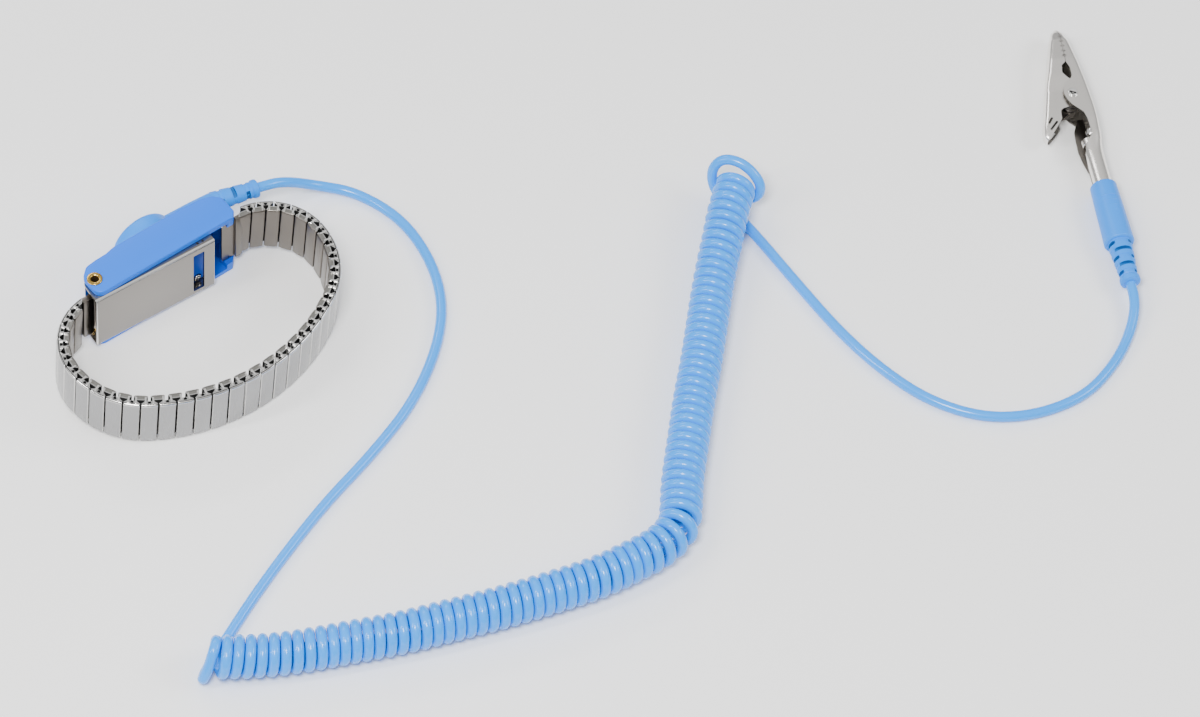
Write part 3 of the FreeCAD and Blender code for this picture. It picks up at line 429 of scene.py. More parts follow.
def build_clasp_insides():
    """The clamp block with its rivet, the contact strip and the stud."""
    # The clamp block is drawn in the darker blue of painted shade, and its round recess is painted black as
    # shade.
    block = prism("clamp_block_moulding", rounded(rectangle(5.4, 12.9, 12.8, 18.3), 0.5, 4), 2.5, 18.6, 0.4)
    recess = prism("recess", [Vector(p) for p in arc(9.7, 3.95, 1.3, 0, 350, 23)], -13.5, -10,
                   matrix=UPRIGHT)
    cut(finished(block, SHADE), finished(recess, SHADE_BLACK))
    piece(smooth(block), "wristband", None, "housing_plastic", "clamp_block")
    dome = [(0, 0.0), (0, 1.0), (0.55, 1.0)] + arc(0.65, 0.65, 0.36, 90, 20, 4)
    dome += [(0.95, 0.5), (0.72, 0.28), (0.66, 0)]
    rivet = lathe("clamp_rivet_head", dome, 32, facing((0, -1, 0), (9.7, 13.45, 3.9)))
    star_crimped(rivet, (9.7, 12.4, 3.9), (0, -1, 0), 0.75, WIRE)
    piece(rivet, "wristband", None, "nickel", "clamp_rivet")
    strip = prism("contact_strip_leaf", rounded(rectangle(-16, 7, 5.6, 15), 1.2, 5), -19.88, -19.58,
                  matrix=UPRIGHT)
    hole = prism("hole", circle(STUD_ACROSS, CLASP_MIDDLE, 1.6), -25, -15, matrix=UPRIGHT)
    cut(strip, hole)
    piece(smooth(strip), "wristband", WIRE, "stainless", "contact_strip")
    stud = [(-2.95, 0), (-2.95, 2.9)] + arc(-2.7, 3.0, 0.25, 180, 0, 4) + [(-2.45, 1.55), (1.3, 1.55)]
    stud += [(1.5, 1.62), (1.75, 1.95)] + arc(2.1, 1.6, 0.42, 60, 10, 4) + [(2.6, 1.2), (2.6, 0)]
    obj = lathe("snap_stud_post", stud, 40, facing((0, 1, 0), (STUD_ACROSS, CLASP_BACK, CLASP_MIDDLE)))
    piece(smooth(obj, 40), "wristband", NICKEL, "nickel", "snap_stud")


# ---------------------------------------------------------------- band

# The loop is symmetrical about x = 0: a tight arc and a wider one on each side, and a flat arc at the far side.
PITCH, FIRST_GAP, LINKS, FIXED, SLIDING = 4.53, 2.19, 34, 3, 6
TOP_ARC, SIDE_ARC, FAR_ARC, LOOP_HALF, LOOP_MIDDLE, LOOP_START = 16.5, 22.7, 53.4, 39.0, -0.2, 21.5
TILT_AT = Vector((0, 15, 11))
TILT = Matrix.Translation(TILT_AT) @ Matrix.Rotation(radians(3.66), 4, "X") @ Matrix.Translation(-TILT_AT)
# The finishes of a link, after its face: the pit, painted black as shade on an outer link and the pressed tile
# on an inner one;
# the sides that face the next link, painted black as shade; and the rims and edges, given a painted highlight.
PIT, GAP_SHADE, GLINT_EDGE = 1, 2, 3


def on_loop(along, inward=0.0):
    """A point of the band's loop and its heading. along is measured on the outer surface."""
    far_middle = LOOP_MIDDLE + sqrt((FAR_ARC - SIDE_ARC) ** 2 - (LOOP_HALF - SIDE_ARC) ** 2)
    spread = atan2(LOOP_HALF - SIDE_ARC, far_middle - LOOP_MIDDLE)
    lead = LOOP_HALF - TOP_ARC - LOOP_START
    half = lead + TOP_ARC * pi / 2 + SIDE_ARC * (pi / 2 - spread) + FAR_ARC * spread
    mirrored = along > half
    s = 2 * half - along if mirrored else along
    if s < lead:
        point, heading = Vector((-LOOP_START - s, LOOP_MIDDLE + TOP_ARC - inward, 0)), pi
    elif s < lead + TOP_ARC * pi / 2:
        turn = (s - lead) / TOP_ARC
        reach = TOP_ARC - inward
        point = Vector((-(LOOP_HALF - TOP_ARC) - reach * sin(turn), LOOP_MIDDLE + reach * cos(turn), 0))
        heading = pi + turn
    elif s < half - FAR_ARC * spread:
        turn = (s - lead - TOP_ARC * pi / 2) / SIDE_ARC
        reach = SIDE_ARC - inward
        point = Vector((-(LOOP_HALF - SIDE_ARC) - reach * cos(turn), LOOP_MIDDLE - reach * sin(turn), 0))
        heading = 1.5 * pi + turn
    else:
        turn = (half - s) / FAR_ARC
        reach = FAR_ARC - inward
        point = Vector((-reach * sin(turn), far_middle - reach * cos(turn), 0))
        heading = -turn
    if mirrored:
        point.x, heading = -point.x, -heading
    return point, heading


def at_loop(along, inward=0.0):
    """A link's placement on the loop."""
    point, heading = on_loop(along, inward)
    return TILT @ Matrix.Translation(point + Vector((0, 0, 11))) @ Matrix.Rotation(heading, 4, "Z")


def link_mesh(section, levels, pit, pit_deep, shade_from, shade_to, rolled_from):
    """A link: its section lofted over the levels, with a pit at each end. Its face rolls over near the ends,
    from the depth rolled_from. The sides between shade_from and shade_to face the next link and take the
    painted shade slot.
    The top rims and side edges of an outer link's face, and the rim of every pit, take the painted highlight
    slot."""
    outward = rolled_from > 1
    bm = bmesh.new()
    rings = []
    for z, depth in levels + [(-z, depth) for z, depth in levels[::-1]]:
        ring = []
        for x, y in section:
            share = max(0, (rolled_from - y if outward else y - rolled_from) / 1.1)
            ring.append(Vector((x, y + depth * share if outward else y - depth * share, z)))
        rings.append(ring)
    loops = skin(bm, rings, caps=False)
    for face in bm.faces:
        middle = sum(vert.co.y for vert in face.verts) / len(face.verts)
        high = min(abs(vert.co.z) for vert in face.verts)
        wide = min(abs(vert.co.x) for vert in face.verts)
        # Painted shade on the sides that face the next link; painted highlight on the outer face's top rims and
        # side edges.
        if shade_from < middle < shade_to:
            face.material_index = GAP_SHADE
        elif outward and middle < shade_from and (high > 7.4 or wide > -section[0][0] - 0.2):
            face.material_index = GLINT_EDGE
    for ring, sign in ((loops[0], 1), (loops[-1], -1)):
        top = ring[0].co.z
        rim = [bm.verts.new((x, y, top)) for x, y in pit]
        floor = [bm.verts.new((x * 0.96, y, top - sign * pit_deep)) for x, y in pit]
        size = len(ring)
        for i in range(size):
            j = (i + 1) % size
            # The pit's rim gets the painted highlight slot, its walls and floor the pit slot.
            bm.faces.new((ring[i], ring[j], rim[j], rim[i])).material_index = GLINT_EDGE
            bm.faces.new((rim[i], rim[j], floor[j], floor[i])).material_index = PIT
        bm.faces.new(floor).material_index = PIT
    bmesh.ops.recalc_face_normals(bm, faces=bm.faces)
    return bm


def section_of(half_face, half_back, thick, crown, edge):
    """A link's section: a crowned face at y = 0 with rolled edges, sides that lean in, and a flat back."""
    half = [(half_face, edge), (half_face - 0.05, edge * 0.58), (half_face - 0.16, edge * 0.25),
            (half_face - 0.34, edge * 0.06 + crown), (half_face * 0.45, crown * 0.3)]
    back = [(half_back + 0.06, thick - 0.22), (half_back - 0.12, thick - 0.04), (half_back - 0.3, thick)]
    face = [(-x, y) for x, y in half] + [(0.0, 0.0)] + half[::-1]
    return face + back + [(0.0, thick)] + [(-x, y) for x, y in back[::-1]]


OUTER_SECTION = section_of(2.07, 1.30, 1.55, 0.05, 0.42)
INNER_SECTION = [(x, 1.6 - y) for x, y in section_of(1.73, 1.15, 1.55, 0.04, 0.34)]


def shrunk(section, across, deep, middle):
    """The section made smaller, about a middle depth."""
    return [(x * across, middle + (y - 0.78) * deep) for x, y in section]


def build_band():
    """The links and staples, one object for each row and kind."""
    outer_levels = [(8.0, 0.62), (7.96, 0.42), (7.86, 0.24), (7.7, 0.11), (7.5, 0.03), (7.2, 0.0), (0.0, 0.0)]
    pit = shrunk(OUTER_SECTION, 0.22, 0.45, 1.15)
    outer_bm = link_mesh(OUTER_SECTION, outer_levels, pit, 0.9, 0.42, 2, 1.1)
    inner_levels = [(8.0, 0.30), (7.96, 0.18), (7.84, 0.07), (7.62, 0.0), (0.0, 0.0)]
    pit = shrunk(INNER_SECTION, 0.82, 0.62, 0.76)
    inner_bm = link_mesh(INNER_SECTION, inner_levels, pit, 0.14, -1, 1.2, 0.5)
    staple_bm = bmesh.new()
    wire = [(-0.95, 6.6), (-0.95, 8.16), (-0.85, 8.26), (0.85, 8.26), (0.95, 8.16), (0.95, 6.6),
            (0.67, 6.6), (0.67, 7.94), (0.6, 8.0), (-0.6, 8.0), (-0.67, 7.94), (-0.67, 6.6)]
    skin(staple_bm, [[Vector((x, y, z)) for y, z in wire] for x in (-0.21, 0.21)])

    def region(link):
        """The row that an outer link belongs to."""
        if link < FIXED or link >= LINKS - FIXED:
            return "fixed"
        if link < FIXED + SLIDING:
            return f"left_{link - FIXED + 1}"
        if link >= LINKS - FIXED - SLIDING:
            return f"right_{LINKS - FIXED - link}"
        return "far"

    def owner(gap):
        """The outer link that carries the inner link behind this gap."""
        if gap == LINKS:
            return LINKS - 1
        near, further = (gap - 1, gap) if gap <= LINKS // 2 else (gap, gap - 1)
        from_end = gap if gap <= LINKS // 2 else LINKS - gap
        return further if from_end < FIXED + SLIDING // 2 else near

    outer, inner, staples = {}, {}, {}
    for link in range(LINKS):
        outer.setdefault(region(link), []).append(at_loop(FIRST_GAP + (link + 0.5) * PITCH))
    for gap in range(1, LINKS + 1):
        home = region(owner(gap))
        inner.setdefault(home, []).append(at_loop(FIRST_GAP + gap * PITCH, 1.75))
        for side in (-1, 1):
            if gap == LINKS and side > 0:
                continue
            middle = at_loop(FIRST_GAP + gap * PITCH + side * 1.28, 1.68)
            staples.setdefault(home, []).append(middle)
            staples[home].append(middle @ Matrix.Rotation(pi, 4, "Y"))

    def repeat(name, source, places, finishes):
        """One object with a copy of the source at each place."""
        template = bpy.data.meshes.new("template")
        source.to_mesh(template)
        bm = bmesh.new()
        for place in places:
            first = len(bm.verts)
            bm.from_mesh(template)
            bm.verts.ensure_lookup_table()
            bmesh.ops.transform(bm, matrix=place, verts=bm.verts[first:])
        bpy.data.meshes.remove(template)
        bm.transform(Matrix.Scale(MM, 4))
        mesh = bpy.data.meshes.new(name)
        bm.to_mesh(mesh)
        bm.free()
        for finish in finishes:
            mesh.materials.append(finish)
        obj = bpy.data.objects.new(name, mesh)
        bpy.context.scene.collection.objects.link(obj)
        return smooth(obj, 38)

    # Outer links: pits and the sides facing the next link painted black as shade, rims with a painted
    # highlight. Inner links: pressed tile in the pits, painted shade on the sides, painted highlight on the
    # rims.
    for home, places in outer.items():
        body = "wristband" if home == "fixed" else f"band_{home}"
        row = repeat(f"outer_row_{home}", outer_bm, places, [SATIN, SHADE_BLACK, SHADE_BLACK, GLINT_STEEL])
        piece(row, body, None, "stainless", f"outer_links_{home}")
        row = repeat(f"inner_row_{home}", inner_bm, inner[home], [INNER, TILE, SHADE_BLACK, GLINT_STEEL])
        piece(row, body, None, "stainless", f"inner_links_{home}")
        wires = repeat(f"staple_row_{home}", staple_bm, staples[home], [WIRE])
        named = [f"staples_{home}"] if home in ("fixed", "far") else []
        piece(wires, body, None, "stainless", *named)
    for bm in (outer_bm, inner_bm, staple_bm):
        bm.free()


def build_band_ends():
    """The left end is a half link with a leaf that curls round the eyelet. The right end is a steel tongue
    through the slot, hooked over inside, and a half link in front of it."""
    curl = arc(*HINGE, 1.85, -200, 68, 24)
    inside = arc(*HINGE, 1.4, 68, -200, 24)
    leaf = [(-21.6, 15.55), (-20.6, 15.55)] + curl[4:] + inside[:-4] + [(-20.9, 16.0), (-21.6, 16.0)]
    left = prism("band_end_curl", [Vector(p) for p in leaf], 3.8, 18.2)
    outline = rounded(rectangle(-23.9, 14.35, -20.9, 15.95), 0.25, 3)
    half_link = prism("half_link", outline, 3.8, 18.2, 0.15, 2)
    join(finished(left, INNER), finished(half_link, INNER))
    piece(smooth(left), "wristband", None, "stainless", "band_end_left")

    outline = rounded([(17.7, 3.6, 0.8), (24.55, 3.6, 0.2), (24.55, 18.4, 0.2), (17.7, 18.4, 1.3)], 0.5, 4)
    tongue = prism("band_end_tongue", outline, -13.78, -13.33, matrix=UPRIGHT)
    bent = rounded([(3.6, 13.4, 0), (18.4, 13.4, 0), (18.4, 17.5, 1.0), (3.6, 17.5, 1.0)], 0, 4)
    across = Matrix(((0, 0, 1, 0), (0, 1, 0, 0), (-1, 0, 0, 22), (0, 0, 0, 1)))
    hook = prism("hook", bent, 17.7, 18.15, matrix=across)
    outline = rounded([(21.5, 12.55, 0.3), (23.75, 12.75, 0.3), (23.6, 13.9, 0.1), (21.7, 13.9, 0.1)], 0.2, 3)
    half_link = prism("half_link", outline, 3.3, 18.7, 0.12, 2)
    join(finished(tongue, INNER), finished(hook, WIRE), finished(half_link, INNER))
    piece(smooth(tongue), "wristband", None, "stainless", "band_end_right")


# ---------------------------------------------------------------- snap connector and strain reliefs

def relief(name, start, end, rows, length, matrix):
    """A tapered sleeve with a bead at its end. Its slots lie over and under it in every second row, and on
    its left and right in the others."""
    collar = 1.9
    step = (length - collar) / rows
    profile = [(0, 0), (0, start), (0.2, start)]
    for row in range(rows):
        middle = step * (row + 0.62)
        radius = start + (end - start) * middle / (length - collar)
        profile += [(middle - 0.6, radius + 0.04), (middle - 0.46, radius - 0.12),
                    (middle + 0.46, radius - 0.12), (middle + 0.6, radius + 0.04)]
    profile += [(length - collar, end - 0.02), (length - collar + 0.35, end + 0.3),
                (length - 0.75, end + 0.36), (length - 0.3, end + 0.22), (length - 0.06, end - 0.15),
                (length, end - 0.6), (length, 0)]
    obj = finished(lathe(name, profile, 56, matrix), MOULDED)
    tools = []
    for row in range(rows):
        middle = step * (row + 0.62)
        half = start + (end - start) * middle / length
        for side in (0, 180):
            turn = Matrix.Rotation(radians(side + (90 if row % 2 == 0 else 0)), 4, "X")
            window = rounded(rectangle(middle - 0.5, -half * 0.8, middle + 0.5, half * 0.8), 0.48, 5)
            # The slots' faces take the darker blue of painted shade.
            tools.append(finished(prism("slot", window, half * 0.56, 6, matrix=matrix @ turn), GROOVE_SHADE))
    cut(obj, *tools)
    return smooth(obj, 35)


def build_connector():
    """The moulded cap with its neck, its socket ring and its strain relief."""
    centre = (STUD_ACROSS, CLASP_BACK + 0.15, CLASP_MIDDLE)
    out = facing((0, 1, 0), centre)
    disc = [(0.25, 0), (0.25, 7.6), (0, 7.9), (0.0, 8.2)] + arc(0.5, 8.0, 0.5, 180, 90, 3)
    disc += arc(3.9, 6.9, 1.6, 80, 12, 7) + [(5.62, 6.4), (5.7, 5.6), (5.7, 0)]
    cap = finished(lathe("snap_connector_cap", disc, 72, out), MOULDED)
    rings = []
    stations = ((0, 4.3, 0.4, 5.35), (8, 4.2, 0.4, 5.35), (15, 3.6, 0.3, 5.5), (20.5, 2.85, 0.3, 5.6),
                (21.8, 2.7, 0.4, 5.5), (22.1, 2.45, 0.65, 5.25))
    for along, half, low, high in stations:
        corner = min(half, (high - low) / 2) * 0.8
        outline = rounded([(low, -half), (high, -half), (high, half), (low, half)], corner, 5)
        rings.append([Vector((centre[0] + along, centre[1] + p.x, centre[2] + p.y)) for p in outline])
    bm = bmesh.new()
    skin(bm, rings)
    neck = to_object("neck", bm)
    join(cap, finished(neck, MOULDED))
    socket_room = lathe("socket_room", [(-1, 0), (-1, 4.12), (3.02, 4.12), (3.02, 0)], 48, out)
    cut(cap, finished(socket_room, MOULDED))
    piece(smooth(cap, 35), "cord_set", None, "cord_plastic", "snap_connector")
    socket = [(0, 2.15), (0, 3.9), (0.2, 4.1), (3.0, 4.1), (3.0, 2.35), (2.2, 2.35), (1.7, 2.06), (0.6, 2.06)]
    ring = lathe("snap_socket_ring", socket, 48, out, loop=True)
    piece(smooth(ring, 40), "cord_set", NICKEL, "nickel", "snap_socket")
    turned = Matrix.Translation((24.25, 25.3, 11)) @ Matrix.Rotation(radians(-14), 4, "Z")
    sleeve = relief("strain_relief_at_snap", 2.7, 2.1, 3, 12.4, turned @ Matrix.Translation((-0.6, 0, 0)))
    piece(sleeve, "cord_set", None, "cord_plastic", "strain_relief_wrist")


# ---------------------------------------------------------------- clip, plug and handle

CLIP = Matrix.Translation((214.7, -101.05, 4.15)) @ Matrix.Rotation(radians(61.5), 4, "Z")


def build_handle():
    """The grip with its ribs, its strain relief and the banana plug."""
    profile = [(0.0, 0), (0.0, 3.05)] + arc(-0.4, 3.1, 0.4, 10, 90, 4)
    profile += [(-6, 3.66), (-14, 3.84), (-17.0, 3.94)] + arc(-18.1, 3.35, 0.62, 70, 170, 6)
    profile += [(-18.75, 2.9), (-18.8, 0)]
    handle = finished(lathe("clip_handle_grip", profile, 64, CLIP), MOULDED)
    # The bore's faces take the darker blue of painted shade.
    bore = finished(lathe("bore", [(-2.0, 0), (-2.0, 2.56), (1, 2.56), (1, 0)], 48, CLIP), GROOVE_SHADE)
    cut(handle, bore)
    ribs = []
    for row in range(4):
        middle = -5.2 - 1.7 * row
        half = 38 - 5 * row
        rib = [(middle + along, radius) for along, radius in
               ((-0.3, 3.2), (-0.2, 3.72), (0, 3.8), (0.2, 3.72), (0.3, 3.2))]
        for face in (0, 180):
            ribs.append(finished(swept(rib, face - half, face + half), MOULDED))
    join(handle, *ribs)
    piece(smooth(handle, 35), "cord_set", None, "cord_plastic", "clip_handle")
    back = CLIP @ Matrix.Translation((-18.2, 0, 0)) @ Matrix.Rotation(pi, 4, "Z")
    sleeve = relief("strain_relief_at_clip", 3.2, 2.35, 5, 13.2, back)
    piece(sleeve, "cord_set", None, "cord_plastic", "strain_relief_clip")
    plug = [(-9.0, 0), (-9.0, 1.5), (12.0, 1.5)] + arc(12.2, 0.7, 0.8, 80, 20, 4) + [(13.0, 0)]
    pin = lathe("banana_plug_pin", plug, 32, CLIP)
    piece(smooth(pin, 40), "cord_set", NICKEL, "nickel", "banana_plug")
    return handle, sleeve, pin


def swept(profile, first, last, steps=10):
    """A profile of (along, radius) swept part of the way round the clip end's axis, from the top."""
    rings = []
    for k in range(steps + 1):
        angle = radians(first + (last - first) * k / steps)
        drop = 0.35 if k in (0, steps) else 0
        rings.append([Vector((x, (r - drop) * sin(angle), (r - drop) * cos(angle))) for x, r in profile])
    bm = bmesh.new()
    skin(bm, rings)
    return to_object("swept", bm, CLIP)


def u_section(back, free, half, corner, away):
    """A channel's section: a free edge, a cheek, a rounded corner, the back, and the same again."""
    points = []
    corner = min(corner, half * 0.95, abs(free - back) * 0.9 + 0.01)
    for k in range(5):
        points.append((free + (back + away * corner - free) * k / 5, half))
    for k in range(6):
        angle = pi / 2 * k / 5
        points.append((back + away * corner * (1 - sin(angle)), half - corner * (1 - cos(angle))))
    points.append((back, (half - corner) / 2))
    points.append((back, 0))
    return points + [(y, -z) for y, z in points[-2::-1]]


def c_section(radius, mouth, count=25):
    """A split barrel's section, open towards +y by the mouth angle."""
    points = []
    for k in range(count):
        angle = radians(90 - mouth / 2) - (2 * pi - radians(mouth)) * k / (count - 1)
        points.append((radius * sin(angle), radius * cos(angle)))
    return points


def sheet_loft(name, sections, thick, matrix):
    """A bent sheet through sections of (x, [(y, z), ...]), thickened."""
    bm = bmesh.new()
    skin(bm, [[Vector((x, y, z)) for y, z in section] for x, section in sections], closed=False, caps=False)
    obj = to_object(name, bm, matrix)
    modifier = obj.modifiers.new("thick", "SOLIDIFY")
    modifier.thickness = thick * MM
    modifier.offset = 0
    modifier.use_even_offset = True
    modifier.use_rim = True
    # The rim faces, the sheet's cut edges, take the dark spring steel: partly their own darker tone, partly
    # painted shade.
    modifier.material_offset_rim = 1
    finished(finished(obj, NICKEL), SPRING)
    return smooth(bake(obj), 34)


def spread(table, x):
    """Reads a table of (x, value) pairs, with straight lines between them."""
    for (x0, v0), (x1, v1) in zip(table, table[1:]):
        if x <= x1:
            return v0 + (v1 - v0) * (x - x0) / (x1 - x0)
    return table[-1][1]


# In the clip's own frame x runs from the handle to the tip, and y from the fixed jaw towards the moving one.
# The teeth, as pairs of x and height, stand on the bite line, and each jaw's point towards the other jaw.
BITE_START, JAW_TIP, TOOTH_PITCH, TOOTH_GAP = 39.4, 51.3, 1.75, 0.05
CLIP_SHEET, SPRING_WIRE = 0.45, 0.27
TEETH = [(BITE_START, 0.0)]
for tooth in range(5):
    step = TOOTH_PITCH * tooth
    TEETH += [(40.3 + step, 0.0), (41.0 + step, 0.75), (41.7 + step, 0.0)]
BITE = [(BITE_START, 1.45), (44.0, 1.1), (49.0, 0.8), (JAW_TIP, 1.0)]


def jaw_stations(back, free, half, first, last, away, corner):
    """Sections of a jaw from its tables, closer together where the free edge turns."""
    places = sorted({round(first + (last - first) * k / 40, 3) for k in range(41)}
                    | {x for x, _ in free + TEETH if first <= x <= last})
    sections = []
    for x in places:
        edge = spread(free, x)
        if x > BITE_START:
            edge = spread(BITE, x) + away * (spread(TEETH, x) - TOOTH_GAP)
        sections.append((x, u_section(spread(back, x), edge, spread(half, x), spread(corner, x), away)))
    return sections


def build_clip():
    """Both jaws folded from sheet, the pivot rivet and the spring."""
    fixed_back = [(12, -2.5), (16, -2.7), (24, -2.75), (32, -2.35), (40, -1.65), (46.5, -1.1), (49.5, -0.45),
                  (50.7, 0.0), (JAW_TIP, 0.6)]
    fixed_free = [(12, 2.0), (13.4, 0.9), (14.6, 0.1), (16, -0.15), (19.5, 0.05), (21.9, 0.55), (23.4, 1.9),
                  (24.6, 2.95), (26.4, 3.85), (28.4, 4.3), (30.0, 4.15), (31.4, 3.45), (32.6, 2.4),
                  (33.3, 1.4), (34.2, 0.95), (36.8, 0.85), (38.0, 1.2), (38.9, 1.45), (BITE_START, 1.4)]
    fixed_half = [(12, 2.6), (16, 3.3), (20, 3.65), (34, 3.65), (40, 3.5), (47, 2.8), (50, 1.9),
                  (JAW_TIP, 1.0)]
    fixed_corner = [(12, 2.2), (16, 1.6), (22, 1.0), (40, 1.0), (48, 1.2), (JAW_TIP, 0.9)]
    sections = [(0.4, c_section(2.3, 16)), (6.0, c_section(2.3, 20)), (10.0, c_section(2.35, 42))]
    sections += [(12.4, [(y * 0.5 + v * 0.5, z * 0.5 + w * 0.5) for (y, z), (v, w) in
                         zip(c_section(2.4, 70), u_section(-2.5, 1.6, 2.7, 2.2, 1))])]
    sections += jaw_stations(fixed_back, fixed_free, fixed_half, 14.2, JAW_TIP, 1, fixed_corner)
    fixed = sheet_loft("clip_jaw_with_barrel", sections, CLIP_SHEET, CLIP)
    piece(fixed, "clip", None, "nickel", "clip_jaw_fixed")

    moving_back = [(16.1, 10.9), (16.4, 11.3), (17.2, 11.6), (19.6, 11.3), (23.1, 10.35), (31.3, 8.2),
                   (38.2, 6.1), (44, 4.5), (49.3, 2.9), (50.7, 2.2), (JAW_TIP, 1.5)]
    moving_free = [(16.1, 10.5), (16.6, 10.1), (18.6, 8.4), (20.7, 6.7), (21.4, 6.25), (22.6, 6.2),
                   (23.9, 6.0), (24.5, 5.2), (24.9, 3.0), (25.6, 1.0), (26.8, -0.1), (30.0, -0.1),
                   (31.6, 0.7), (33.4, 1.5), (34.2, 2.3), (35.5, 3.15), (37.9, 2.75), (38.9, 1.6),
                   (BITE_START, 1.5)]
    moving_half = [(16.1, 0.9), (16.6, 1.35), (18, 1.9), (20, 2.35), (24, 2.55), (30.5, 2.6), (34.5, 3.35),
                   (40, 3.5), (47, 2.8), (50, 1.9), (JAW_TIP, 1.0)]
    moving_corner = [(16.1, 0.6), (18, 1.0), (20, 1.2), (40, 1.0), (48, 1.2), (JAW_TIP, 0.9)]
    sections = jaw_stations(moving_back, moving_free, moving_half, 16.1, JAW_TIP, -1, moving_corner)
    moving = sheet_loft("clip_jaw_with_lever", sections, CLIP_SHEET, CLIP)
    # Two slots in the lever, their faces painted black as shade.
    slots = []
    for (x0, y0), (x1, y1) in (((20.1, 10.1), (21.9, 8.8)), ((18.3, 9.9), (20.6, 7.7))):
        across = Vector((y0 - y1, x1 - x0)).normalized() * 0.3
        start, end = Vector((x0, y0)), Vector((x1, y1))
        corners = [start + across, start - across, end - across, end + across]
        slots.append(finished(prism("slot", rounded(corners, 0.25, 4), -4, 4, matrix=CLIP), SHADE_BLACK))
    cut(moving, *slots)
    piece(smooth(moving, 34), "clip_jaw", None, "nickel", "clip_jaw_moving")

    pin_at = Vector((28.4, 2.0, 0))
    head = [(-4.0, 0), (-4.0, 1.0)] + arc(-3.75, 1.0, 0.4, 180, 90, 3)[1:]
    head += [(-3.85, 1.4), (-3.85, 0.9), (3.85, 0.9), (3.85, 1.4)]
    head += arc(3.95, 1.0, 0.4, 80, 20, 4) + [(4.2, 0.6), (4.1, 0.3), (4.08, 0)]
    pin = lathe("clip_pivot_rivet", head, 32, CLIP @ facing((0, 0, 1), pin_at))
    up = CLIP.to_3x3() @ Vector((0, 0, 1))
    star_crimped(pin, CLIP @ (pin_at + Vector((0, 0, 4.2))), up, 0.95, WIRE)
    piece(pin, "clip", None, "nickel", "clip_pin")

    turns, per_turn = 5, 12
    coil = [(18.2, -1.75, 1.6), (22.0, -1.85, 1.9), (26.5, 0.25, 2.2)]
    for k in range(turns * per_turn + 1):
        angle = -pi / 2 + 2 * pi * k / per_turn
        drop = 4.2 * k / (turns * per_turn)
        coil.append((pin_at.x + 1.72 * cos(angle), pin_at.y + 1.72 * sin(angle), 2.2 - drop))
    wire = to_mesh(tube("clip_spring_wire", coil, SPRING_WIRE, CLIP, 4, 4))
    piece(smooth(wire, 50), "clip", SPRING, "spring_steel", "clip_spring")
    leg = [(25.9, 3.0, -2.1), (24.0, 5.6, -2.0), (21.4, 8.9, -1.9), (20.3, 9.9, -1.7)]
    arm = to_mesh(tube("clip_spring_leg", leg, SPRING_WIRE, CLIP, 4, 4))
    piece(smooth(arm, 50), "clip_jaw", SPRING, "spring_steel", "spring_arm")
    build_terminal()


def build_terminal():
    """The tray on the far cheek with the wire screw and the crimp, inside the fixed jaw."""
    outline = [(6.6, -0.6, 0), (6.6, 2.0, 0.3), (10.0, 2.75, 1.5), (13.5, 3.15, 1.5), (17.0, 3.0, 2),
               (20.2, 2.7, 1.5), (24.0, 1.1, 0.3), (24.0, -0.6, 0)]
    tray = prism("terminal_tray", rounded(outline, 0, 4), -2.75, -2.4, 0.08, 2, CLIP)
    # The nickel tray is drawn in the dark inner steel finish as painted shade inside the channel.
    piece(smooth(tray), "clip", INNER, "nickel")
    screw = [(-1.6, 0), (-1.6, 0.6), (0, 0.6), (0, 1.2)] + arc(0.3, 0.75, 0.48, 90, 20, 4)
    screw += [(0.8, 0.3), (0.82, 0)]
    dome = lathe("terminal_screw_head", screw, 32, CLIP @ facing((-0.25, 0.6, 0.75), (17.3, -0.6, 0.6)))
    piece(smooth(dome, 40), "clip", WIRE, "nickel", "terminal_screw")
    band = []
    for x, lift in ((13.2, 0.0), (13.35, 0.12), (14.7, 0.12), (14.85, 0.0)):
        radius = 1.5 + lift
        band.append((x, [(radius * cos(radians(a)) + 0.55, radius * sin(radians(a)) + 0.2)
                         for a in range(-100, 141, 15)]))
    crimp = sheet_loft("crimp_band", band, 0.35, CLIP)
    piece(crimp, "clip", None, "nickel")
    bare = [(6.5, 1.0, 0), (11.0, 0.9, 0.2), (14.0, 0.55, 0.2), (16.2, 0.2, 0.2), (17.2, -0.6, 0.2)]
    wire = to_mesh(tube("crimped_wire", bare, 0.8, CLIP, 5, 6))
    # The bare wire is drawn in the dark spring steel as painted shade inside the channel.
    piece(smooth(wire, 50), "clip", SPRING, "nickel")


# ---------------------------------------------------------------- cord

# The wire's diameter, the radius of a turn's middle line, the gap between turns, the control points in a turn,
# and the heights of a lead and of the coil's axis on the floor.
WIRE_D, COIL_R, TURN_GAP, TURN_POINTS, FLOOR, COIL_UP = 2.7, 4.05, 0.11, 14, 1.35, 5.4
LEAD_WRIST = [(31.5, 23.5, 11.0), (36.6, 22.3, 11.0), (43.0, 21.3, 9.4), (52.0, 19.2, 3.0),
              (60.0, 12.0, FLOOR), (64.2, -3.2, FLOOR), (60.2, -21.8, FLOOR), (50.3, -35.8, FLOOR),
              (32.2, -48.3, FLOOR), (12.0, -55.4, FLOOR), (-3.6, -59.5, FLOOR), (-20.0, -65.4, FLOOR),
              (-34.5, -71.3, FLOOR), (-46.5, -76.9, FLOOR), (-53.2, -80.0, FLOOR), (-57.0, -81.9, FLOOR),
              (-59.0, -83.3, 1.6), (-59.4, -84.3, 3.4), (-58.0, -84.1, 5.8), (-56.6, -83.5, 8.1),
              (-55.4, -82.9, 9.9)]
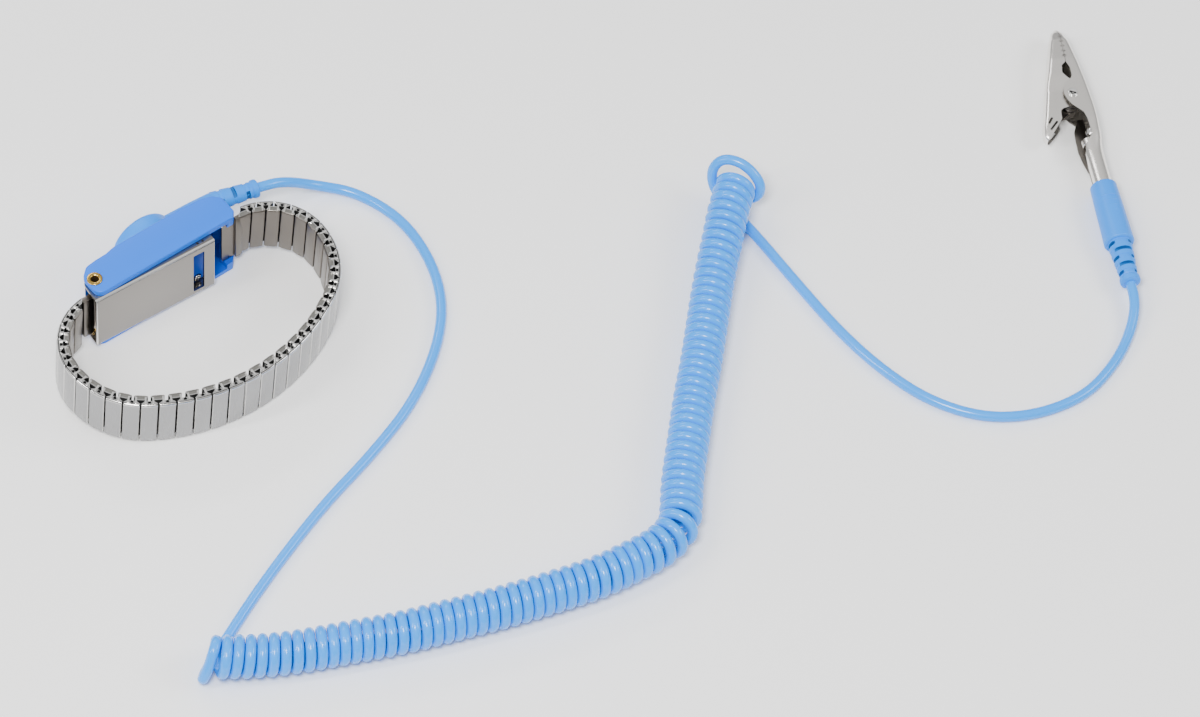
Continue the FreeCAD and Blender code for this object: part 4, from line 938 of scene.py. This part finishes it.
COIL_AXIS = [(-54.7, -82.5, 6.2), (-49.0, -86.2, 5.7), (-43.5, -89.4, COIL_UP), (-37.0, -92.9, COIL_UP),
             (-25.7, -97.9, COIL_UP), (-14.5, -103.0, COIL_UP), (-2.5, -107.3, COIL_UP),
             (9.4, -111.6, COIL_UP), (21.8, -115.4, COIL_UP), (34.3, -118.9, COIL_UP),
             (43.4, -120.0, COIL_UP), (51.5, -120.9, COIL_UP), (58.9, -119.3, COIL_UP),
             (63.0, -115.0, COIL_UP), (68.6, -108.5, COIL_UP), (77.3, -100.2, COIL_UP),
             (86.0, -91.6, COIL_UP), (95.3, -83.3, COIL_UP), (104.4, -74.5, COIL_UP), (113.6, -65.7, 6.0),
             (123.4, -57.3, 7.8), (130.0, -51.4, 8.2), (136.0, -47.2, 8.2)]
END_LOOP = [(136.3, -47.8, 3.7), (138.3, -51.0, 4.8), (139.7, -52.4, 7.4), (140.4, -51.2, 10.8),
            (138.9, -46.2, 14.2), (135.9, -41.4, 13.9), (133.2, -40.3, 10.2), (132.6, -42.2, 5.2),
            (133.6, -46.8, 1.6)]
LEAD_CLIP = [(133.8, -57.0, FLOOR), (132.3, -77.4, FLOOR), (131.3, -94.8, FLOOR), (132.3, -110.2, FLOOR),
             (135.6, -124.4, FLOOR), (143.2, -136.6, FLOOR), (154.6, -144.0, FLOOR), (168.5, -146.9, FLOOR),
             (181.0, -143.9, FLOOR), (190.4, -139.2, 1.5), (196.9, -133.9, 3.2), (200.0, -128.1, 4.15),
             (203.5, -121.7, 4.15)]


def axis_line(points):
    """Points along a smooth line, read from a spline of its own."""
    line = tube("axis", points, 0, steps=24)
    line.data.bevel_depth = 0
    graph = bpy.context.evaluated_depsgraph_get()
    mesh = bpy.data.meshes.new_from_object(line.evaluated_get(graph))
    places = [v.co / MM for v in mesh.vertices]
    bpy.data.meshes.remove(mesh)
    bpy.data.objects.remove(line)
    return places


def helix():
    """The curly part's control points. Its turns all but touch, and they open up on a bend."""
    places = axis_line(COIL_AXIS)
    travelled = [0.0]
    for a, b in zip(places, places[1:]):
        travelled.append(travelled[-1] + (b - a).length)
    total = travelled[-1]

    def at(s):
        low, high = 0, len(places) - 1
        while high - low > 1:
            middle = (low + high) // 2
            low, high = (middle, high) if travelled[middle] <= s else (low, middle)
        share = (s - travelled[low]) / (travelled[high] - travelled[low])
        return places[low].lerp(places[high], share)

    def heading(s):
        return (at(min(total, s + 2.0)) - at(max(0.0, s - 2.0))).normalized()

    control = COIL_R / 0.975
    points, s, angle = [], 0.0, radians(-290)
    while s < total:
        tangent = heading(s)
        left = Vector((-tangent.y, tangent.x, 0)).normalized()
        up = tangent.cross(left)
        bend = heading(min(total, s + 3)).angle(heading(max(0, s - 3))) / 6
        pitch = (WIRE_D + TURN_GAP) / (1 - bend * COIL_R * 0.9)
        points.append(at(s) + (left * cos(angle) + up * sin(angle)) * control)
        angle -= 2 * pi / TURN_POINTS
        s += pitch / TURN_POINTS
    while sin(angle) > -0.9:
        tangent = heading(total)
        left = Vector((-tangent.y, tangent.x, 0)).normalized()
        points.append(at(total) + (left * cos(angle) + tangent.cross(left) * sin(angle)) * control)
        angle -= 2 * pi / TURN_POINTS
    return points


def build_cord():
    """The whole cord, on one spline."""
    points = LEAD_WRIST + [tuple(p) for p in helix()] + END_LOOP + LEAD_CLIP
    cord = tube("curly_cord", points, WIRE_D / 2, sides=6, steps=6)
    cord.data.materials.append(CORD)
    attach(cord, "cord_set")
    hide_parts("cord_lead_wrist", "cord_coil", "cord_lead_clip")


# ---------------------------------------------------------------- studio

def area_light(name, at, target, size, power, color=(1, 1, 1)):
    """A rectangular light at a point, aimed at another."""
    light = bpy.data.lights.new(name, "AREA")
    light.shape = "RECTANGLE"
    light.size, light.size_y = size
    light.energy = power
    light.color = color
    obj = bpy.data.objects.new(name, light)
    obj.location = at
    obj.rotation_euler = (Vector(target) - Vector(at)).to_track_quat("-Z", "Y").to_euler()
    bpy.context.scene.collection.objects.link(obj)


def build_studio():
    """A pale floor, a sky that brightens upwards, and four soft lights."""
    bm = bmesh.new()
    bmesh.ops.create_grid(bm, x_segments=2, y_segments=2, size=3000)
    floor = to_object("studio_floor", bm)
    floor.data.materials.append(material("studio_white", (0.96, 0.96, 0.96), 0.8))
    world = bpy.data.worlds.new("studio")
    world.use_nodes = True
    nodes, links = world.node_tree.nodes, world.node_tree.links
    place = nodes.new("ShaderNodeTexCoord")
    split = nodes.new("ShaderNodeSeparateXYZ")
    ramp = nodes.new("ShaderNodeValToRGB")
    stops = ramp.color_ramp.elements
    stops[0].position, stops[0].color = 0.0, (0.36, 0.365, 0.375, 1)
    stops[1].position, stops[1].color = 0.85, (1.0, 1.0, 1.0, 1)
    links.new(place.outputs["Generated"], split.inputs["Vector"])
    links.new(split.outputs["Z"], ramp.inputs["Fac"])
    links.new(ramp.outputs["Color"], nodes["Background"].inputs["Color"])
    nodes["Background"].inputs["Strength"].default_value = 0.85
    bpy.context.scene.world = world
    middle = (0.09, -0.06, 0)
    area_light("key", (-0.30, -0.30, 0.80), middle, (0.24, 0.24), 9.0, (1.0, 0.99, 0.97))
    area_light("fill", (0.60, -0.50, 0.55), middle, (0.40, 0.30), 3.0, (0.96, 0.98, 1.0))
    area_light("rim", (0.15, 0.65, 0.60), middle, (0.5, 0.1), 1.6)
    area_light("strip", (-0.55, 0.15, 0.60), middle, (0.06, 0.6), 3.0)


def build_camera():
    """The photograph's angle."""
    at, target = Vector((-0.4844, -0.6670, 1.1319)), Vector((0.0779, -0.0648, 0))
    forward = (target - at).normalized()
    right = forward.cross(Vector((0, 0, 1))).normalized()
    up = right.cross(forward)
    roll = radians(-5.5)
    turned_right = right * cos(roll) - up * sin(roll)
    turned_up = right * sin(roll) + up * cos(roll)
    data = bpy.data.cameras.new("photo_angle")
    data.sensor_width = 36
    data.lens = 167.25
    data.clip_end = 20
    camera = bpy.data.objects.new("photo_angle", data)
    bpy.context.scene.collection.objects.link(camera)
    turned = Matrix((turned_right, turned_up, -forward)).transposed().to_4x4()
    camera.matrix_world = Matrix.Translation(at) @ turned
    bpy.context.scene.camera = camera


build_housing()
build_eyelet()
build_cover()
build_clasp_insides()
build_band()
build_band_ends()
build_connector()
grip, sleeve, plug = build_handle()
build_clip()
build_cord()
for node, finish in (("series_resistor", RESISTOR), ("banana_spring", NICKEL)):
    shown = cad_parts[node]
    shown.data.materials.clear()
    shown.data.materials.append(finish)
build_studio()
build_camera()
